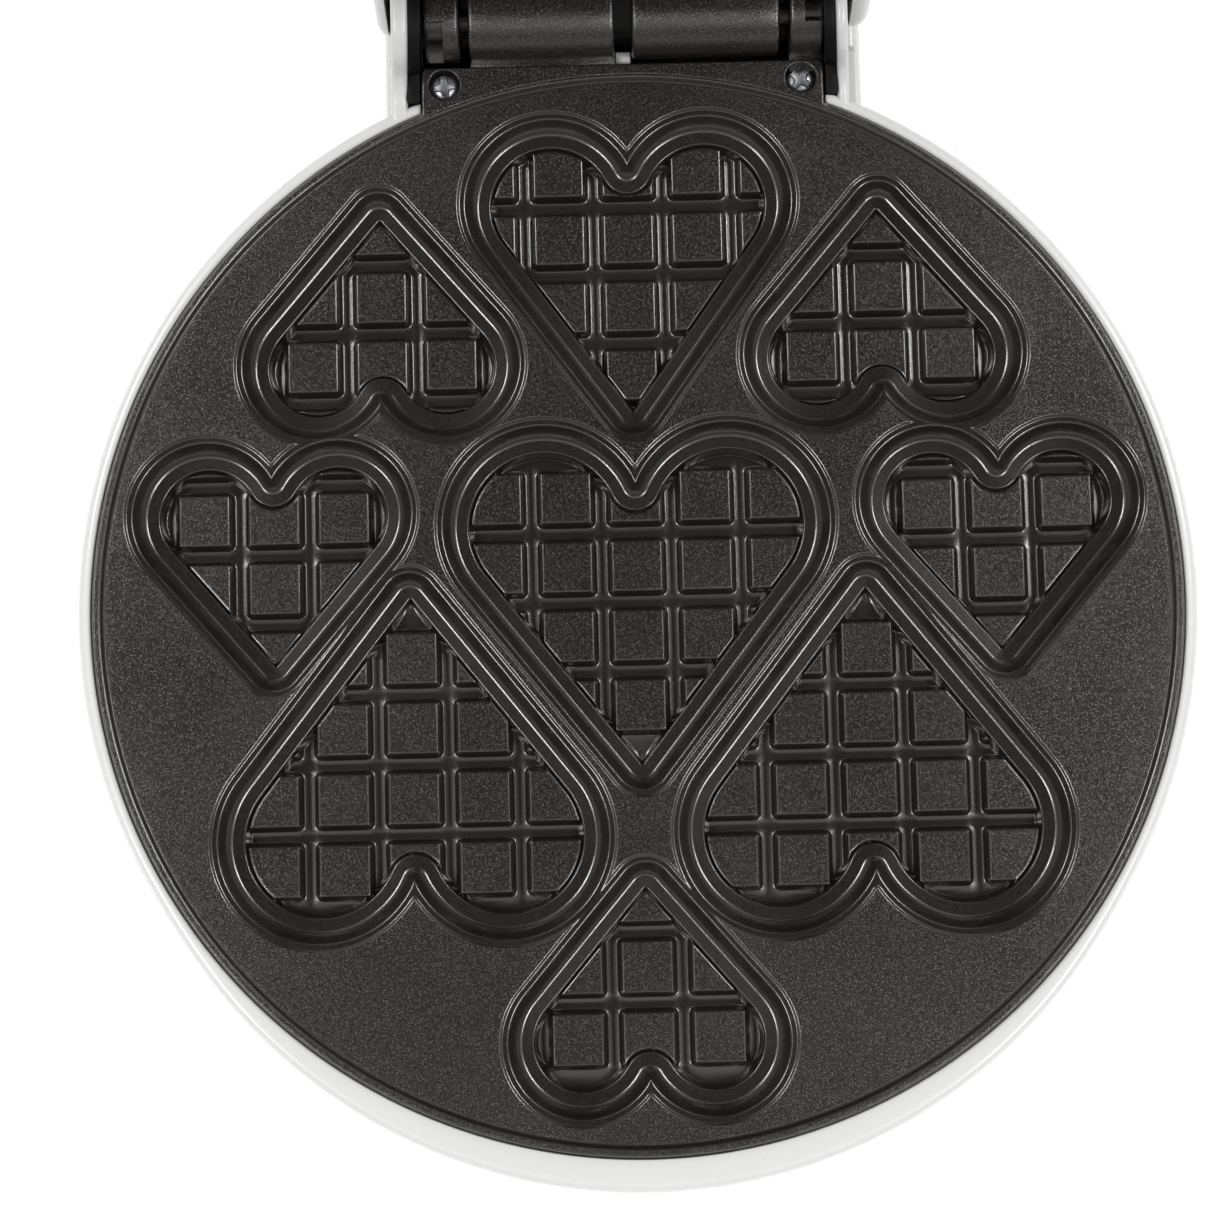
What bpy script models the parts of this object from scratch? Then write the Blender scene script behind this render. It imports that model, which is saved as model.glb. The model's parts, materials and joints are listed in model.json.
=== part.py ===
"""Round heart waffle maker with its lid standing open on the hinge.

Lengths below are millimetres in the closed-lid layout: x right, y towards the
hinge, z up from the table, plate centre on x = y = 0.  Pieces of the lid are
drawn closed and hang on an empty on the hinge axis that is turned open.
"""
import bpy
import bmesh
from math import sin, cos, asin, atan2, sqrt, radians, degrees, pi
from mathutils import Vector

MM = 0.001
GAP = 0.3

# frame and joints
Y_SHIFT = -47.394       # centres the open waffle maker front to back
AXIS_Y = 118.6          # hinge axis behind the plate centre
AXIS_Z = 43.5           # hinge axis and parting plane above the table
LID_OPEN = 105.0        # lid angle at rest
LATCH_OPEN = 35.0       # latch angle at rest, released
LATCH_Y, LATCH_Z = -124.5, 50.5

# cooking plates
FIELD_Z = 42.0          # flat top of the lower plate
PLATE_R = 108.0
LIP_W, LIP_H = 1.9, 1.2
DISC_T = 5.0
RIM_T = 6.5
BOSS_T = 11.0           # pans reach this far under the field
PAN_WALL = 2.5
LEDGE_Z, LEDGE_IN_Z, PEG_Z, FLOOR_Z = -3.5, -4.2, -4.7, -7.2
WALL_IN, LEDGE_IN = 2.2, 5.2
TIP_R = 5.3
PEG_PITCH, PEG_TOP, PEG_BASE = 13.95, 10.2, 11.2
TAB_X, TAB_FRONT, TAB_BACK, TAB_T = 40.5, 92.0, 109.4, 7.0
KNUCKLE_R, PIN_R, BORE_R = 8.3, 2.4, 2.6
INNER_KNUCKLE = (-30.8, -1.5)
OUTER_KNUCKLE = (33.0, 40.3)
TAB_SCREW = (36.0, 105.6)
FRONT_SCREW = (42.0, -84.0)

# heart sizes: lobe centre x, lobe centre y, lobe radius, half angle of the
# tip, first peg row above the tip, rows, columns either side
LARGE = (18.4, 52.7, 20.05, 38.0, 16.75, 4, 2)
MEDIUM = (15.5, 47.1, 17.2, 35.9, 12.6, 4, 2)
SMALL = (12.9, 34.95, 14.75, 40.5, 6.65, 3, 1)
# size, tip x, tip y, tip pointing to the front (1) or to the hinge (-1)
HEARTS = (
    ("top", MEDIUM, 0.0, 34.2, 1),
    ("top_left", SMALL, -50.2, 84.3, -1),
    ("top_right", SMALL, 50.2, 84.3, -1),
    ("left", SMALL, -72.4, -15.4, 1),
    ("right", SMALL, 72.4, -15.4, 1),
    ("centre", LARGE, 0.0, -36.5, 1),
    ("low_left", LARGE, -45.4, 7.4, -1),
    ("low_right", LARGE, 45.4, 7.4, -1),
    ("bottom", SMALL, 0.0, -50.9, -1),
)

# housings: height, radius, forward reach of the front bulge
SIDES = 54
BASE_OUT = ((4.5, 100.0, 0.6), (8.0, 103.4, 1.6), (20.0, 108.0, 3.4), (33.0, 111.2, 4.0),
            (37.5, 111.5, 4.0), (40.7, 110.9, 4.0), (41.7, 110.1, 4.0))
BASE_IN = ((9.0, 101.0, 1.2), (20.0, 105.4, 3.1), (32.0, 108.3, 3.6), (34.5, 108.5, 0.0),
           (44.0, 108.5, 0.0))
LID_OUT = ((45.3, 110.1, 4.0), (46.3, 110.9, 4.0), (49.5, 111.5, 4.0), (54.0, 111.2, 4.0),
           (64.0, 108.6, 3.4), (72.0, 103.0, 2.4), (78.0, 94.0, 1.4), (81.3, 80.0, 0.5),
           (82.5, 60.0, 0.1))
LID_IN = ((44.0, 108.5, 0.0), (52.5, 108.5, 0.0), (55.0, 108.2, 3.6), (63.5, 105.9, 3.0),
          (70.8, 100.4, 2.0), (76.2, 92.0, 1.0), (79.1, 78.6, 0.3), (80.1, 59.0, 0.1))
BULGE_BACK = 8.1
ARM_IN, ARM_OUT = 43.2, 46.2
EAR_R = 11.5
ARM_FILLET = 8.0        # concave sweep from the ear down to the rim
RIM_Z = 41.6
BLOCK_X, BLOCK_TOP, BLOCK_BACK = 49.5, 24.6, 131.0
CHEEK_IN, CHEEK_OUT = 46.8, 50.0
LID_REAR_IN, LID_REAR_OUT = 130.8, 133.1
LID_BLOCK_TOP = 76.5
LID_CORNER_R = 12.5     # lower back corner of the lid's hinge block
LID_EDGE_R = 3.0

EMPTIES = {}
COLLECTIONS = {}


class Place:
    """Where a piece belongs: its joint group and whether it is turned over."""

    def __init__(self, group, turned=False):
        self.group = group
        self.turned = turned

    def local(self, p):
        x, y, z = p
        if self.turned:
            x, z = -x, 2 * AXIS_Z - z
        ox, oy, oz = ORIGINS[self.group]
        return Vector(((x - ox) * MM, (y - oy) * MM, (z - oz) * MM))


ORIGINS = {"base": (0, 0, 0), "lid": (0, AXIS_Y, AXIS_Z), "latch": (0, LATCH_Y, LATCH_Z)}
BASE, LID, LATCH = Place("base"), Place("lid"), Place("latch")
UPPER = Place("lid", True)


# ---------------------------------------------------------------- scene set-up
def clear_scene():
    for obj in list(bpy.data.objects):
        bpy.data.objects.remove(obj, do_unlink=True)


def make_collections():
    for key, title in (("parts", "waffle_maker"), ("cutters", "cutters"), ("frames", "frames")):
        col = bpy.data.collections.new(title)
        bpy.context.scene.collection.children.link(col)
        COLLECTIONS[key] = col


def make_empty(name, parent, at, turn):
    empty = bpy.data.objects.new(name, None)
    empty.empty_display_size = 0.03
    COLLECTIONS["frames"].objects.link(empty)
    empty.parent = parent
    empty.location = [v * MM for v in at]
    empty.rotation_euler = (radians(turn), 0.0, 0.0)
    return empty


def make_frames():
    root = make_empty("base_frame", None, (0, Y_SHIFT, 0), 0)
    lid = make_empty("lid_axis", root, (0, AXIS_Y, AXIS_Z), -LID_OPEN)
    latch = make_empty("latch_axis", lid, (0, LATCH_Y - AXIS_Y, LATCH_Z - AXIS_Z), -LATCH_OPEN)
    EMPTIES.update(base=root, lid=lid, latch=latch)


def material(name, colour, rough, metal=0.0):
    mat = bpy.data.materials.new(name)
    mat.use_nodes = True
    shader = next(n for n in mat.node_tree.nodes if n.type == "BSDF_PRINCIPLED")
    shader.inputs["Base Color"].default_value = (*colour, 1.0)
    shader.inputs["Roughness"].default_value = rough
    shader.inputs["Metallic"].default_value = metal
    mat.diffuse_color = (*colour, 1.0)
    return mat


LOOKS = {
    "white_plastic": ((0.86, 0.85, 0.83), 0.32, 0.0),
    "black_plastic": ((0.025, 0.025, 0.027), 0.42, 0.0),
    "nonstick": ((0.045, 0.04, 0.037), 0.38, 0.3),
    "steel": ((0.62, 0.62, 0.60), 0.28, 1.0),
    "aluminium": ((0.72, 0.72, 0.70), 0.38, 1.0),
    "element": ((0.22, 0.21, 0.20), 0.5, 0.8),
    "rubber": ((0.06, 0.06, 0.06), 0.8, 0.0),
    "ceramic": ((0.82, 0.79, 0.72), 0.6, 0.0),
    "red_lens": ((0.65, 0.05, 0.03), 0.2, 0.0),
    "green_lens": ((0.06, 0.42, 0.12), 0.2, 0.0),
    "clear_glass": ((0.75, 0.7, 0.66), 0.12, 0.0),
    "wire_brown": ((0.23, 0.1, 0.04), 0.6, 0.0),
    "wire_blue": ((0.05, 0.12, 0.42), 0.6, 0.0),
}


def finish_object(name, bm, place, look=None):
    """Close a bmesh off into a piece (with a look) or into a hidden cutter."""
    for v in bm.verts:
        v.co = place.local(v.co)
    bmesh.ops.recalc_face_normals(bm, faces=bm.faces)
    mesh = bpy.data.meshes.new(name)
    bm.to_mesh(mesh)
    bm.free()
    obj = bpy.data.objects.new(name, mesh)
    COLLECTIONS["parts" if look else "cutters"].objects.link(obj)
    obj.parent = EMPTIES[place.group]
    if look:
        colour, rough, metal = LOOKS[look]
        mesh.materials.append(material(name + "_" + look, colour, rough, metal))
    else:
        obj.hide_render = True
        obj.display_type = "WIRE"
    return obj


def combine(target, tool, operation):
    mod = target.modifiers.new(operation.lower() + "_" + tool.name, "BOOLEAN")
    mod.operation = operation
    mod.solver = "EXACT"
    mod.object = tool
    return target


def cut(target, *tools):
    for tool in tools:
        combine(target, tool, "DIFFERENCE")
    return target


def add(target, *tools):
    for tool in tools:
        combine(target, tool, "UNION")
    return target


# ------------------------------------------------------------------ primitives
def loft_into(bm, rings):
    """Skin equal-length rings of points and cap both ends."""
    rows = [[bm.verts.new(p) for p in ring] for ring in rings]
    for low, high in zip(rows, rows[1:]):
        for i in range(len(low)):
            j = (i + 1) % len(low)
            bm.faces.new((low[i], low[j], high[j], high[i]))
    bm.faces.new(list(reversed(rows[0])))
    bm.faces.new(rows[-1])


def loft(name, rings, place, look=None):
    bm = bmesh.new()
    loft_into(bm, rings)
    return finish_object(name, bm, place, look)


def box(name, xs, ys, zs, place, look=None, bevel=0.0, segments=2):
    bm = bmesh.new()
    bmesh.ops.create_cube(bm, size=1.0)
    for v in bm.verts:
        v.co = Vector((xs[0] + (v.co.x + 0.5) * (xs[1] - xs[0]),
                       ys[0] + (v.co.y + 0.5) * (ys[1] - ys[0]),
                       zs[0] + (v.co.z + 0.5) * (zs[1] - zs[0])))
    obj = finish_object(name, bm, place, look)
    if bevel:
        mod = obj.modifiers.new("rounded_edges", "BEVEL")
        mod.width = bevel * MM
        mod.segments = segments
        mod.limit_method = "ANGLE"
    return obj


def disc_ring(centre, radius, axis, at, sides):
    """Points of a circle round a line along x, y or z."""
    ring = []
    for i in range(sides):
        a = 2 * pi * i / sides
        u, w = radius * cos(a), radius * sin(a)
        if axis == "x":
            ring.append((at, centre[0] + u, centre[1] + w))
        elif axis == "y":
            ring.append((centre[0] + u, at, centre[1] + w))
        else:
            ring.append((centre[0] + u, centre[1] + w, at))
    return ring


def turned(name, centre, axis, profile, place, look=None, sides=14):
    """Stack of circles: profile is (position along the axis, radius)."""
    rings = [disc_ring(centre, r, axis, at, sides) for at, r in profile]
    return loft(name, rings, place, look)


def sweep(name, points, radius, place, look=None, sides=8):
    """Round rod along a list of points."""
    pts = [Vector(p) for p in points]
    rings = []
    normal = None
    for i, p in enumerate(pts):
        ahead = pts[min(i + 1, len(pts) - 1)] - pts[max(i - 1, 0)]
        ahead.normalize()
        if normal is None:
            normal = ahead.orthogonal().normalized()
        normal = (normal - ahead * normal.dot(ahead)).normalized()
        side = ahead.cross(normal)
        rings.append([tuple(p + radius * (cos(2 * pi * k / sides) * normal
                                          + sin(2 * pi * k / sides) * side))
                      for k in range(sides)])
    return loft(name, rings, place, look)


# ---------------------------------------------------------------------- hearts
def arc(cx, cy, r, start, end, steps):
    return [(cx + r * cos(radians(start + (end - start) * i / steps)),
             cy + r * sin(radians(start + (end - start) * i / steps))) for i in range(steps + 1)]


def heart_half(size, inset, lobe_steps, tip_steps, notch_steps):
    """Right half of a heart outline, tip at the origin, moved in by inset."""
    cx, cy, r, half = size[:4]
    notch_y = cy + sqrt(r * r - cx * cx)
    notch_dir = degrees(atan2(notch_y - cy, -cx))
    if inset < 0:
        reach = r - inset
        notch_dir = degrees(atan2(sqrt(reach * reach - cx * cx), -cx))
    tip_r = max(TIP_R - inset, 0.05)
    tip_y = TIP_R
    if inset > TIP_R - 0.05:
        sharp = TIP_R * (1 - 1 / sin(radians(half))) + inset / sin(radians(half))
        tip_y = sharp + tip_r / sin(radians(half))
    pts = arc(0.0, tip_y, tip_r, -90.0, -half, tip_steps)
    pts += arc(cx, cy, r - inset, -half, notch_dir, lobe_steps)
    if inset > 0:
        pts += arc(0.0, notch_y, inset, notch_dir - 180.0, -90.0, notch_steps)[1:]
    return pts


def heart_outline(size, inset, lobe_steps=6, tip_steps=2, notch_steps=2):
    right = heart_half(size, inset, lobe_steps, tip_steps, notch_steps)
    left = [(-x, y) for x, y in reversed(right[1:-1])]
    return right + left


def placed(points, heart, z):
    _, _, tip_x, tip_y, up = heart
    return [(tip_x + x, tip_y + up * y, FIELD_Z + z) for x, y in points]


def heart_cavity(heart, place):
    """Pan of one heart with its square pegs left standing."""
    name, size = heart[0], heart[1]
    tag = "upper_" if place.turned else "lower_"
    levels = ((3.0, 0.15), (0.0, 0.15), (LEDGE_Z, WALL_IN), (LEDGE_IN_Z, LEDGE_IN),
              (FLOOR_Z, LEDGE_IN + 0.6))
    rings = [placed(heart_outline(size, inset), heart, z) for z, inset in levels]
    pan = loft(tag + "pan_" + name, rings, place)
    cut(pan, heart_pegs(heart, place, tag))
    return pan


def heart_pegs(heart, place, tag):
    name, size, tip_x, tip_y, up = heart
    first, rows, side_cols = size[4:]
    bm = bmesh.new()
    for row in range(rows):
        y = first + PEG_PITCH * row
        for col in range(-side_cols, side_cols + 1):
            x = PEG_PITCH * col
            if not peg_shows(size, x, y):
                continue
            rings = []
            for half, z in ((PEG_BASE / 2, FLOOR_Z - 0.6), (PEG_TOP / 2, PEG_Z)):
                rings.append([(tip_x + x + sx * half, tip_y + up * (y + sy * half), FIELD_Z + z)
                              for sx, sy in ((-1, -1), (1, -1), (1, 1), (-1, 1))])
            loft_into(bm, rings)
    return finish_object(tag + "pegs_" + name, bm, place)


def peg_shows(size, x, y):
    """Keep pegs whose near corner reaches well inside the floor outline."""
    cx, cy, r, half = size[:4]
    ax = max(abs(x) - PEG_TOP / 2, 0.0)
    near_y = y + PEG_TOP / 2
    sharp = TIP_R * (1 - 1 / sin(radians(half))) + LEDGE_IN / sin(radians(half))
    under = (near_y - sharp) * sin(radians(half)) - ax * cos(radians(half)) > 1.5
    if y < cy:
        return under
    inside = (ax - cx if ax > cx else 0.0) ** 2 + max(y - PEG_TOP / 2 - cy, 0.0) ** 2
    return under and inside < (r - LEDGE_IN - 1.0) ** 2


def heart_boss(heart, place):
    tag = "upper_" if place.turned else "lower_"
    rings = [placed(heart_outline(heart[1], -PAN_WALL, 5, 1, 0), heart, z)
             for z in (-BOSS_T, -DISC_T + 1.0)]
    return loft(tag + "boss_" + heart[0], rings, place)


# ---------------------------------------------------------------------- plates
def plate_disc(name, place):
    top = FIELD_Z
    profile = ((top - RIM_T, PLATE_R - 0.5), (top - RIM_T + 1, PLATE_R), (top + LIP_H - 0.3, PLATE_R),
               (top + LIP_H, PLATE_R - 0.3))
    return turned(name, (0, 0), "z", profile, place, "nonstick", sides=SIDES)


def hinge_knuckle(tag, xs, place):
    """One hinge barrel with its web to the tab and a blind or through bore."""
    barrel = turned(tag + "_barrel", (AXIS_Y, AXIS_Z), "x",
                    ((xs[0], KNUCKLE_R), (xs[1], KNUCKLE_R)), place, sides=24)
    web = box(tag + "_web", (xs[0] + 0.15, xs[1] - 0.15), (TAB_BACK - 3, AXIS_Y),
              (AXIS_Z - KNUCKLE_R + 0.5, FIELD_Z + 0.7), place)
    return barrel, web


def cooking_plate(tag, place):
    """Cast plate: rim and lip, nine pans, hinge tab and its two barrels."""
    plate = plate_disc(tag + "_plate", place)
    cut(plate, turned(tag + "_field_cut", (0, 0), "z",
                      ((FIELD_Z, PLATE_R - LIP_W - 0.25), (FIELD_Z + 2, PLATE_R - LIP_W + 0.25)),
                      place, sides=SIDES))
    cut(plate, turned(tag + "_under_cut", (0, 0), "z",
                      ((FIELD_Z - RIM_T - 2, PLATE_R - 3), (FIELD_Z - DISC_T, PLATE_R - 3)),
                      place, sides=SIDES))
    add(plate, box(tag + "_tab", (-TAB_X, TAB_X), (TAB_FRONT, TAB_BACK),
                   (FIELD_Z - TAB_T, FIELD_Z + LIP_H - 0.05), place))
    for end, xs in (("inner", INNER_KNUCKLE), ("outer", OUTER_KNUCKLE)):
        add(plate, *hinge_knuckle(tag + "_" + end, xs, place))
    for heart in HEARTS:
        add(plate, heart_boss(heart, place))
    add(plate, turned(tag + "_stud", (0, 0), "z", ((24.2, 6.0), (34.0, 6.0)), place))
    for x in (-FRONT_SCREW[0], FRONT_SCREW[0]):
        add(plate, turned(tag + "_post_" + ("l" if x < 0 else "r"), (x, FRONT_SCREW[1]), "z",
                          ((31.0, 4.5), (39.0, 4.5)), place))
    for heart in HEARTS:
        cut(plate, heart_cavity(heart, place))
    cut(plate, *plate_holes(tag, place))
    return plate


def plate_holes(tag, place):
    """Hinge bores, screw holes and counterbores."""
    holes = [turned(tag + "_bore_left", (AXIS_Y, AXIS_Z), "x",
                    ((-42, BORE_R), (-11.5, BORE_R)), place),
             turned(tag + "_bore_right", (AXIS_Y, AXIS_Z), "x",
                    ((28.0, BORE_R), (42, BORE_R)), place),
             turned(tag + "_stud_hole", (0, 0), "z", ((23.5, 2.3), (31.5, 2.3)), place, sides=12)]
    for side in (-1, 1):
        end = "_l" if side < 0 else "_r"
        holes.append(turned(tag + "_tab_hole" + end, (side * TAB_SCREW[0], TAB_SCREW[1]), "z",
                            ((34, 2.0), (40.3, 2.0), (40.31, 3.3), (44.5, 3.3)), place, sides=12))
        holes.append(turned(tag + "_post_hole" + end, (side * FRONT_SCREW[0], FRONT_SCREW[1]), "z",
                            ((30.5, 1.9), (38.0, 1.9)), place, sides=12))
    return holes


# --------------------------------------------------- heating parts, both sides
def ring_path(radius, z, start, end, steps):
    return [(radius * cos(radians(start + (end - start) * i / steps)),
             radius * sin(radians(start + (end - start) * i / steps)), z)
            for i in range(steps + 1)]


def heating_parts(tag, place):
    """Sheathed element, its clamp bar, screw, reflector dish and thermostat."""
    path = [(13.0, 76.0, 27.3), (12.9, 68.0, 27.3)]
    path += ring_path(62.0, 27.3, 76.0, -256.0, 24)
    path += [(-12.9, 68.0, 27.3), (-13.0, 76.0, 27.3)]
    sweep(tag + "_heating_element", path, 3.2, place, "element", sides=8)
    clamp = box(tag + "_element_clamp", (-68, 68), (-7, 7), (21.2, 23.8), place, "steel",
                bevel=0.6, segments=1)
    cut(clamp, turned(tag + "_clamp_hole", (0, 0), "z", ((20, 2.5), (25, 2.5)), place, sides=12))
    turned(tag + "_clamp_screw", (0, 0), "z",
           ((18.2, 3.6), (20.3, 4.2), (20.9, 4.2), (20.91, 2.0), (30.5, 2.0)), place, "steel", 12)
    reflector(tag, place)
    turned(tag + "_thermostat", (30.0, -22.0), "z",
           ((19.0, 6.0), (21.5, 6.0), (21.51, 8.5), (30.6, 8.5)), place, "ceramic", 14)


def reflector(tag, place):
    outer = [disc_ring((0, 0), r, "z", z, 36) for z, r in ((14.8, 78.0), (16.4, 80.5), (26.0, 86.0))]
    inner = [disc_ring((0, 0), r, "z", z, 36) for z, r in ((15.7, 77.4), (16.9, 79.7), (26.5, 85.2))]
    dish = loft(tag + "_reflector", outer, place, "aluminium")
    cut(dish, loft(tag + "_dish_inside", inner, place))
    cut(dish, turned(tag + "_dish_vent", (0, 0), "z", ((14, 9.0), (17, 9.0)), place))


def plate_screws(tag, place):
    """Two cross-head screws in the tab and, on the base, two from underneath."""
    for side in (-1, 1):
        end = "_left" if side < 0 else "_right"
        x, y = side * TAB_SCREW[0], TAB_SCREW[1]
        turned(tag + "_plate_screw" + end, (x, y), "z",
               ((27.5, 1.2), (28.5, 1.7), (40.5, 1.7), (40.6, 2.9), (42.0, 2.9), (42.6, 2.3)),
               place, "steel", 12)
        if place.turned:
            continue
        x, y = side * FRONT_SCREW[0], FRONT_SCREW[1]
        turned(tag + "_front_screw" + end, (x, y), "z",
               ((9.6, 3.3), (11.6, 3.3), (11.7, 1.6), (37.0, 1.6)), place, "steel", 12)


# -------------------------------------------------------------------- housings
def outline_reach(angle, radius, reach):
    """Distance from the middle to a round outline with a front bulge."""
    if reach <= 0.0:
        return radius
    centre = -BULGE_BACK
    r = radius + reach - BULGE_BACK
    b = centre * sin(angle)
    root = b * b - centre * centre + r * r
    return max(radius, b + sqrt(root)) if root > 0 else radius


def shell_ring(level, grow=0.0):
    z, radius, reach = level
    ring = []
    for i in range(SIDES):
        a = 2 * pi * i / SIDES
        d = outline_reach(a, radius + grow, reach)
        ring.append((d * cos(a), d * sin(a), z))
    return ring


def shell(name, levels, place, look=None, grow=0.0):
    return loft(name, [shell_ring(level, grow) for level in levels], place, look)


def side_slab(name, xs, outline, place):
    """Flat slab across x with a side-view outline of (y, z) points."""
    return loft(name, [[(x, y, z) for y, z in outline] for x in xs], place)


def ear_outline():
    """Hinge arm seen from the side: a round ear sweeping down into the rim."""
    pts = [(95.0, 9.5), (113.0, 9.5), (113.2, AXIS_Z - 10.1)]
    rise = RIM_Z + ARM_FILLET - AXIS_Z
    turn = degrees(asin(rise / (EAR_R + ARM_FILLET)))
    ahead = (EAR_R + ARM_FILLET) * cos(radians(turn))
    pts += arc(AXIS_Y, AXIS_Z, EAR_R, degrees(asin(-10.1 / EAR_R)), 180.0 - turn, 14)
    pts += arc(AXIS_Y - ahead, RIM_Z + ARM_FILLET, ARM_FILLET, -turn, -90.0, 5)[1:]
    return pts + [(95.0, RIM_Z)]


def base_housing():
    body = shell("base_housing", BASE_OUT, BASE, "white_plastic")
    add(body, box("rear_block", (-BLOCK_X, BLOCK_X), (80, BLOCK_BACK), (4.5, BLOCK_TOP), BASE,
                  bevel=2.0))
    cut(body, shell("base_inside", BASE_IN, BASE))
    cut(body, box("rear_block_inside", (-BLOCK_X + 2.6, BLOCK_X - 2.6), (60, BLOCK_BACK - 2.6),
                  (9.0, BLOCK_TOP - 2.6), BASE))
    cut(body, box("tab_clearance", (-ARM_IN, ARM_IN), (90, 120), (34.4, 60), BASE))
    for side in (-1, 1):
        end = "_left" if side < 0 else "_right"
        xs = sorted((side * ARM_IN, side * ARM_OUT))
        add(body, side_slab("hinge_arm" + end, xs, ear_outline(), BASE))
        add(body, turned("tab_boss" + end, (side * TAB_SCREW[0], TAB_SCREW[1]), "z",
                         ((22.5, 4.4), (34.7, 4.4)), BASE, sides=12))
        add(body, turned("front_boss" + end, (side * FRONT_SCREW[0], FRONT_SCREW[1]), "z",
                         ((8.0, 5.0), (30.7, 5.0)), BASE, sides=12))
    cut(body, turned("plate_clearance", (0, 0), "z", ((35.0, PLATE_R + 0.44), (60, PLATE_R + 0.44)),
                     BASE, sides=SIDES))
    cut(body, turned("foot_recess", (0, 0), "z", ((4, 96), (6.5, 96)), BASE, sides=SIDES))
    cut(body, turned("floor_opening", (0, 0), "z", ((6, 68), (10, 68)), BASE, sides=40))
    cut(body, box("latch_window", (-14, 14), (-120, -104), (24.6, 31.6), BASE))
    cut(body, *base_holes())
    return body


def base_holes():
    holes = [turned("inlet_hole", (-24, 15.4), "y", ((125, 4.6), (133, 4.6)), BASE, sides=20)]
    for side in (-1, 1):
        end = "_left" if side < 0 else "_right"
        holes.append(turned("tab_boss_hole" + end, (side * TAB_SCREW[0], TAB_SCREW[1]), "z",
                            ((26.5, 1.9), (36, 1.9)), BASE, sides=12))
        holes.append(turned("front_boss_hole" + end, (side * FRONT_SCREW[0], FRONT_SCREW[1]), "z",
                            ((5, 3.7), (11.95, 3.7), (11.96, 1.9), (32, 1.9)), BASE, sides=12))
    for i in range(4):
        x, y = cover_screw_spot(i)
        holes.append(turned("cover_hole_%d" % i, (x, y), "z", ((5, 1.7), (10, 1.7)), BASE, sides=12))
    return holes


def cover_screw_spot(i):
    a = radians(45 + 90 * i)
    return 72.0 * cos(a), 72.0 * sin(a)


def bottom_cover():
    cover = turned("bottom_cover", (0, 0), "z", ((4.0, 75.2), (4.6, 76.0), (6.2, 76.0)),
                   BASE, "white_plastic", sides=40)
    for i in range(4):
        x, y = cover_screw_spot(i)
        cut(cover, turned("cover_screw_way_%d" % i, (x, y), "z",
                          ((3, 3.3), (4.9, 3.3), (4.91, 1.7), (7, 1.7)), BASE, sides=12))
        turned("cover_screw_%d" % (i + 1), (x, y), "z",
               ((3.6, 2.6), (4.7, 3.0), (4.8, 1.4), (8.9, 1.4)), BASE, "steel", 12)
    for row in range(4):
        y = -24.0 + 16.0 * row
        cut(cover, box("cover_vent_%d" % row, (-30, 30), (y - 1.6, y + 1.6), (3, 7), BASE))


def feet():
    for i, (x, y) in enumerate(((-61, -61), (61, -61), (-61, 61), (61, 61))):
        turned("foot_%d" % (i + 1), (x, y), "z", ((0.0, 7.2), (0.6, 7.8), (6.2, 8.2)), BASE,
               "rubber", 16)


def hinge_hardware():
    for side in (-1, 1):
        end = "_left" if side < 0 else "_right"
        xs = sorted((side * 12.0, side * 40.1))
        turned("hinge_pin" + end, (AXIS_Y, AXIS_Z), "x",
               ((xs[0], PIN_R - 0.3), (xs[0] + 0.3, PIN_R), (xs[1] - 0.3, PIN_R), (xs[1], PIN_R - 0.3)),
               BASE, "steel", 16)
        xs = sorted((side * (ARM_IN - GAP), side * (ARM_IN - 1.9)))
        loft("hinge_liner" + end, [[(x, y, z) for y, z in liner_outline()] for x in xs],
             BASE, "black_plastic")


def liner_outline():
    pts = [(109.2, 25.2), (113.0, 25.2), (113.2, AXIS_Z - 9.6)]
    for i in range(13):
        a = radians(-60.0 + 240.0 * i / 12.0)
        pts.append((AXIS_Y + 10.8 * cos(a), AXIS_Z + 10.8 * sin(a)))
    pts += [(102.3, AXIS_Z - 0.8), (102.3, 35.4), (109.2, 35.4)]
    return pts


def base_wiring():
    fuse = [(-40.0, -22.0, 28.0), (-39.0, -22.0, 28.0), (-21.0, -22.0, 28.0), (-20.0, -22.0, 28.0)]
    sweep("thermal_fuse", fuse, 2.2, BASE, "ceramic", 12)
    box("terminal_block", (-16, 16), (108, 120), (9.3, 18.5), BASE, "ceramic", bevel=0.8, segments=1)
    for side, end, look in ((-1, "live", "wire_brown"), (1, "neutral", "wire_blue")):
        path = [(side * 13.0, 77.6, 27.3), (side * 12.8, 84.0, 28.6), (side * 12.0, 90.0, 28.2),
                (side * 10.5, 100.0, 22.0), (side * 9.5, 106.0, 20.6), (side * 9.0, 111.0, 20.2),
                (side * 9.0, 114.0, 20.0)]
        sweep("lead_" + end, path, 1.1, BASE, look, 6)
    bush = turned("cord_inlet_bush", (-24, 15.4), "y",
                  ((126.2, 5.9), (128.1, 5.9), (128.11, 4.3), (131.2, 4.3), (131.21, 6.2),
                   (133.4, 5.8)), BASE, "black_plastic", 14)
    cut(bush, turned("bush_way", (-24, 15.4), "y", ((125, 3.0), (135, 3.0)), BASE, sides=12))


# ------------------------------------------------------------------------- lid
def lid_rear_ring(x, inset):
    """Side view of the lid's hinge block, its lower back corner well rounded."""
    low, top = AXIS_Z + 0.3 + inset, LID_BLOCK_TOP - inset
    back, big, small = LID_REAR_OUT - inset, LID_CORNER_R - inset, LID_EDGE_R + 0.2 - inset
    pts = [(60.0, top), (60.0, low)] + arc(back - big, low + big, big, -90, 0, 6)
    pts += arc(back - small, top - small, small, 0, 90, 2)
    return [(x, y, z) for y, z in pts]


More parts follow.
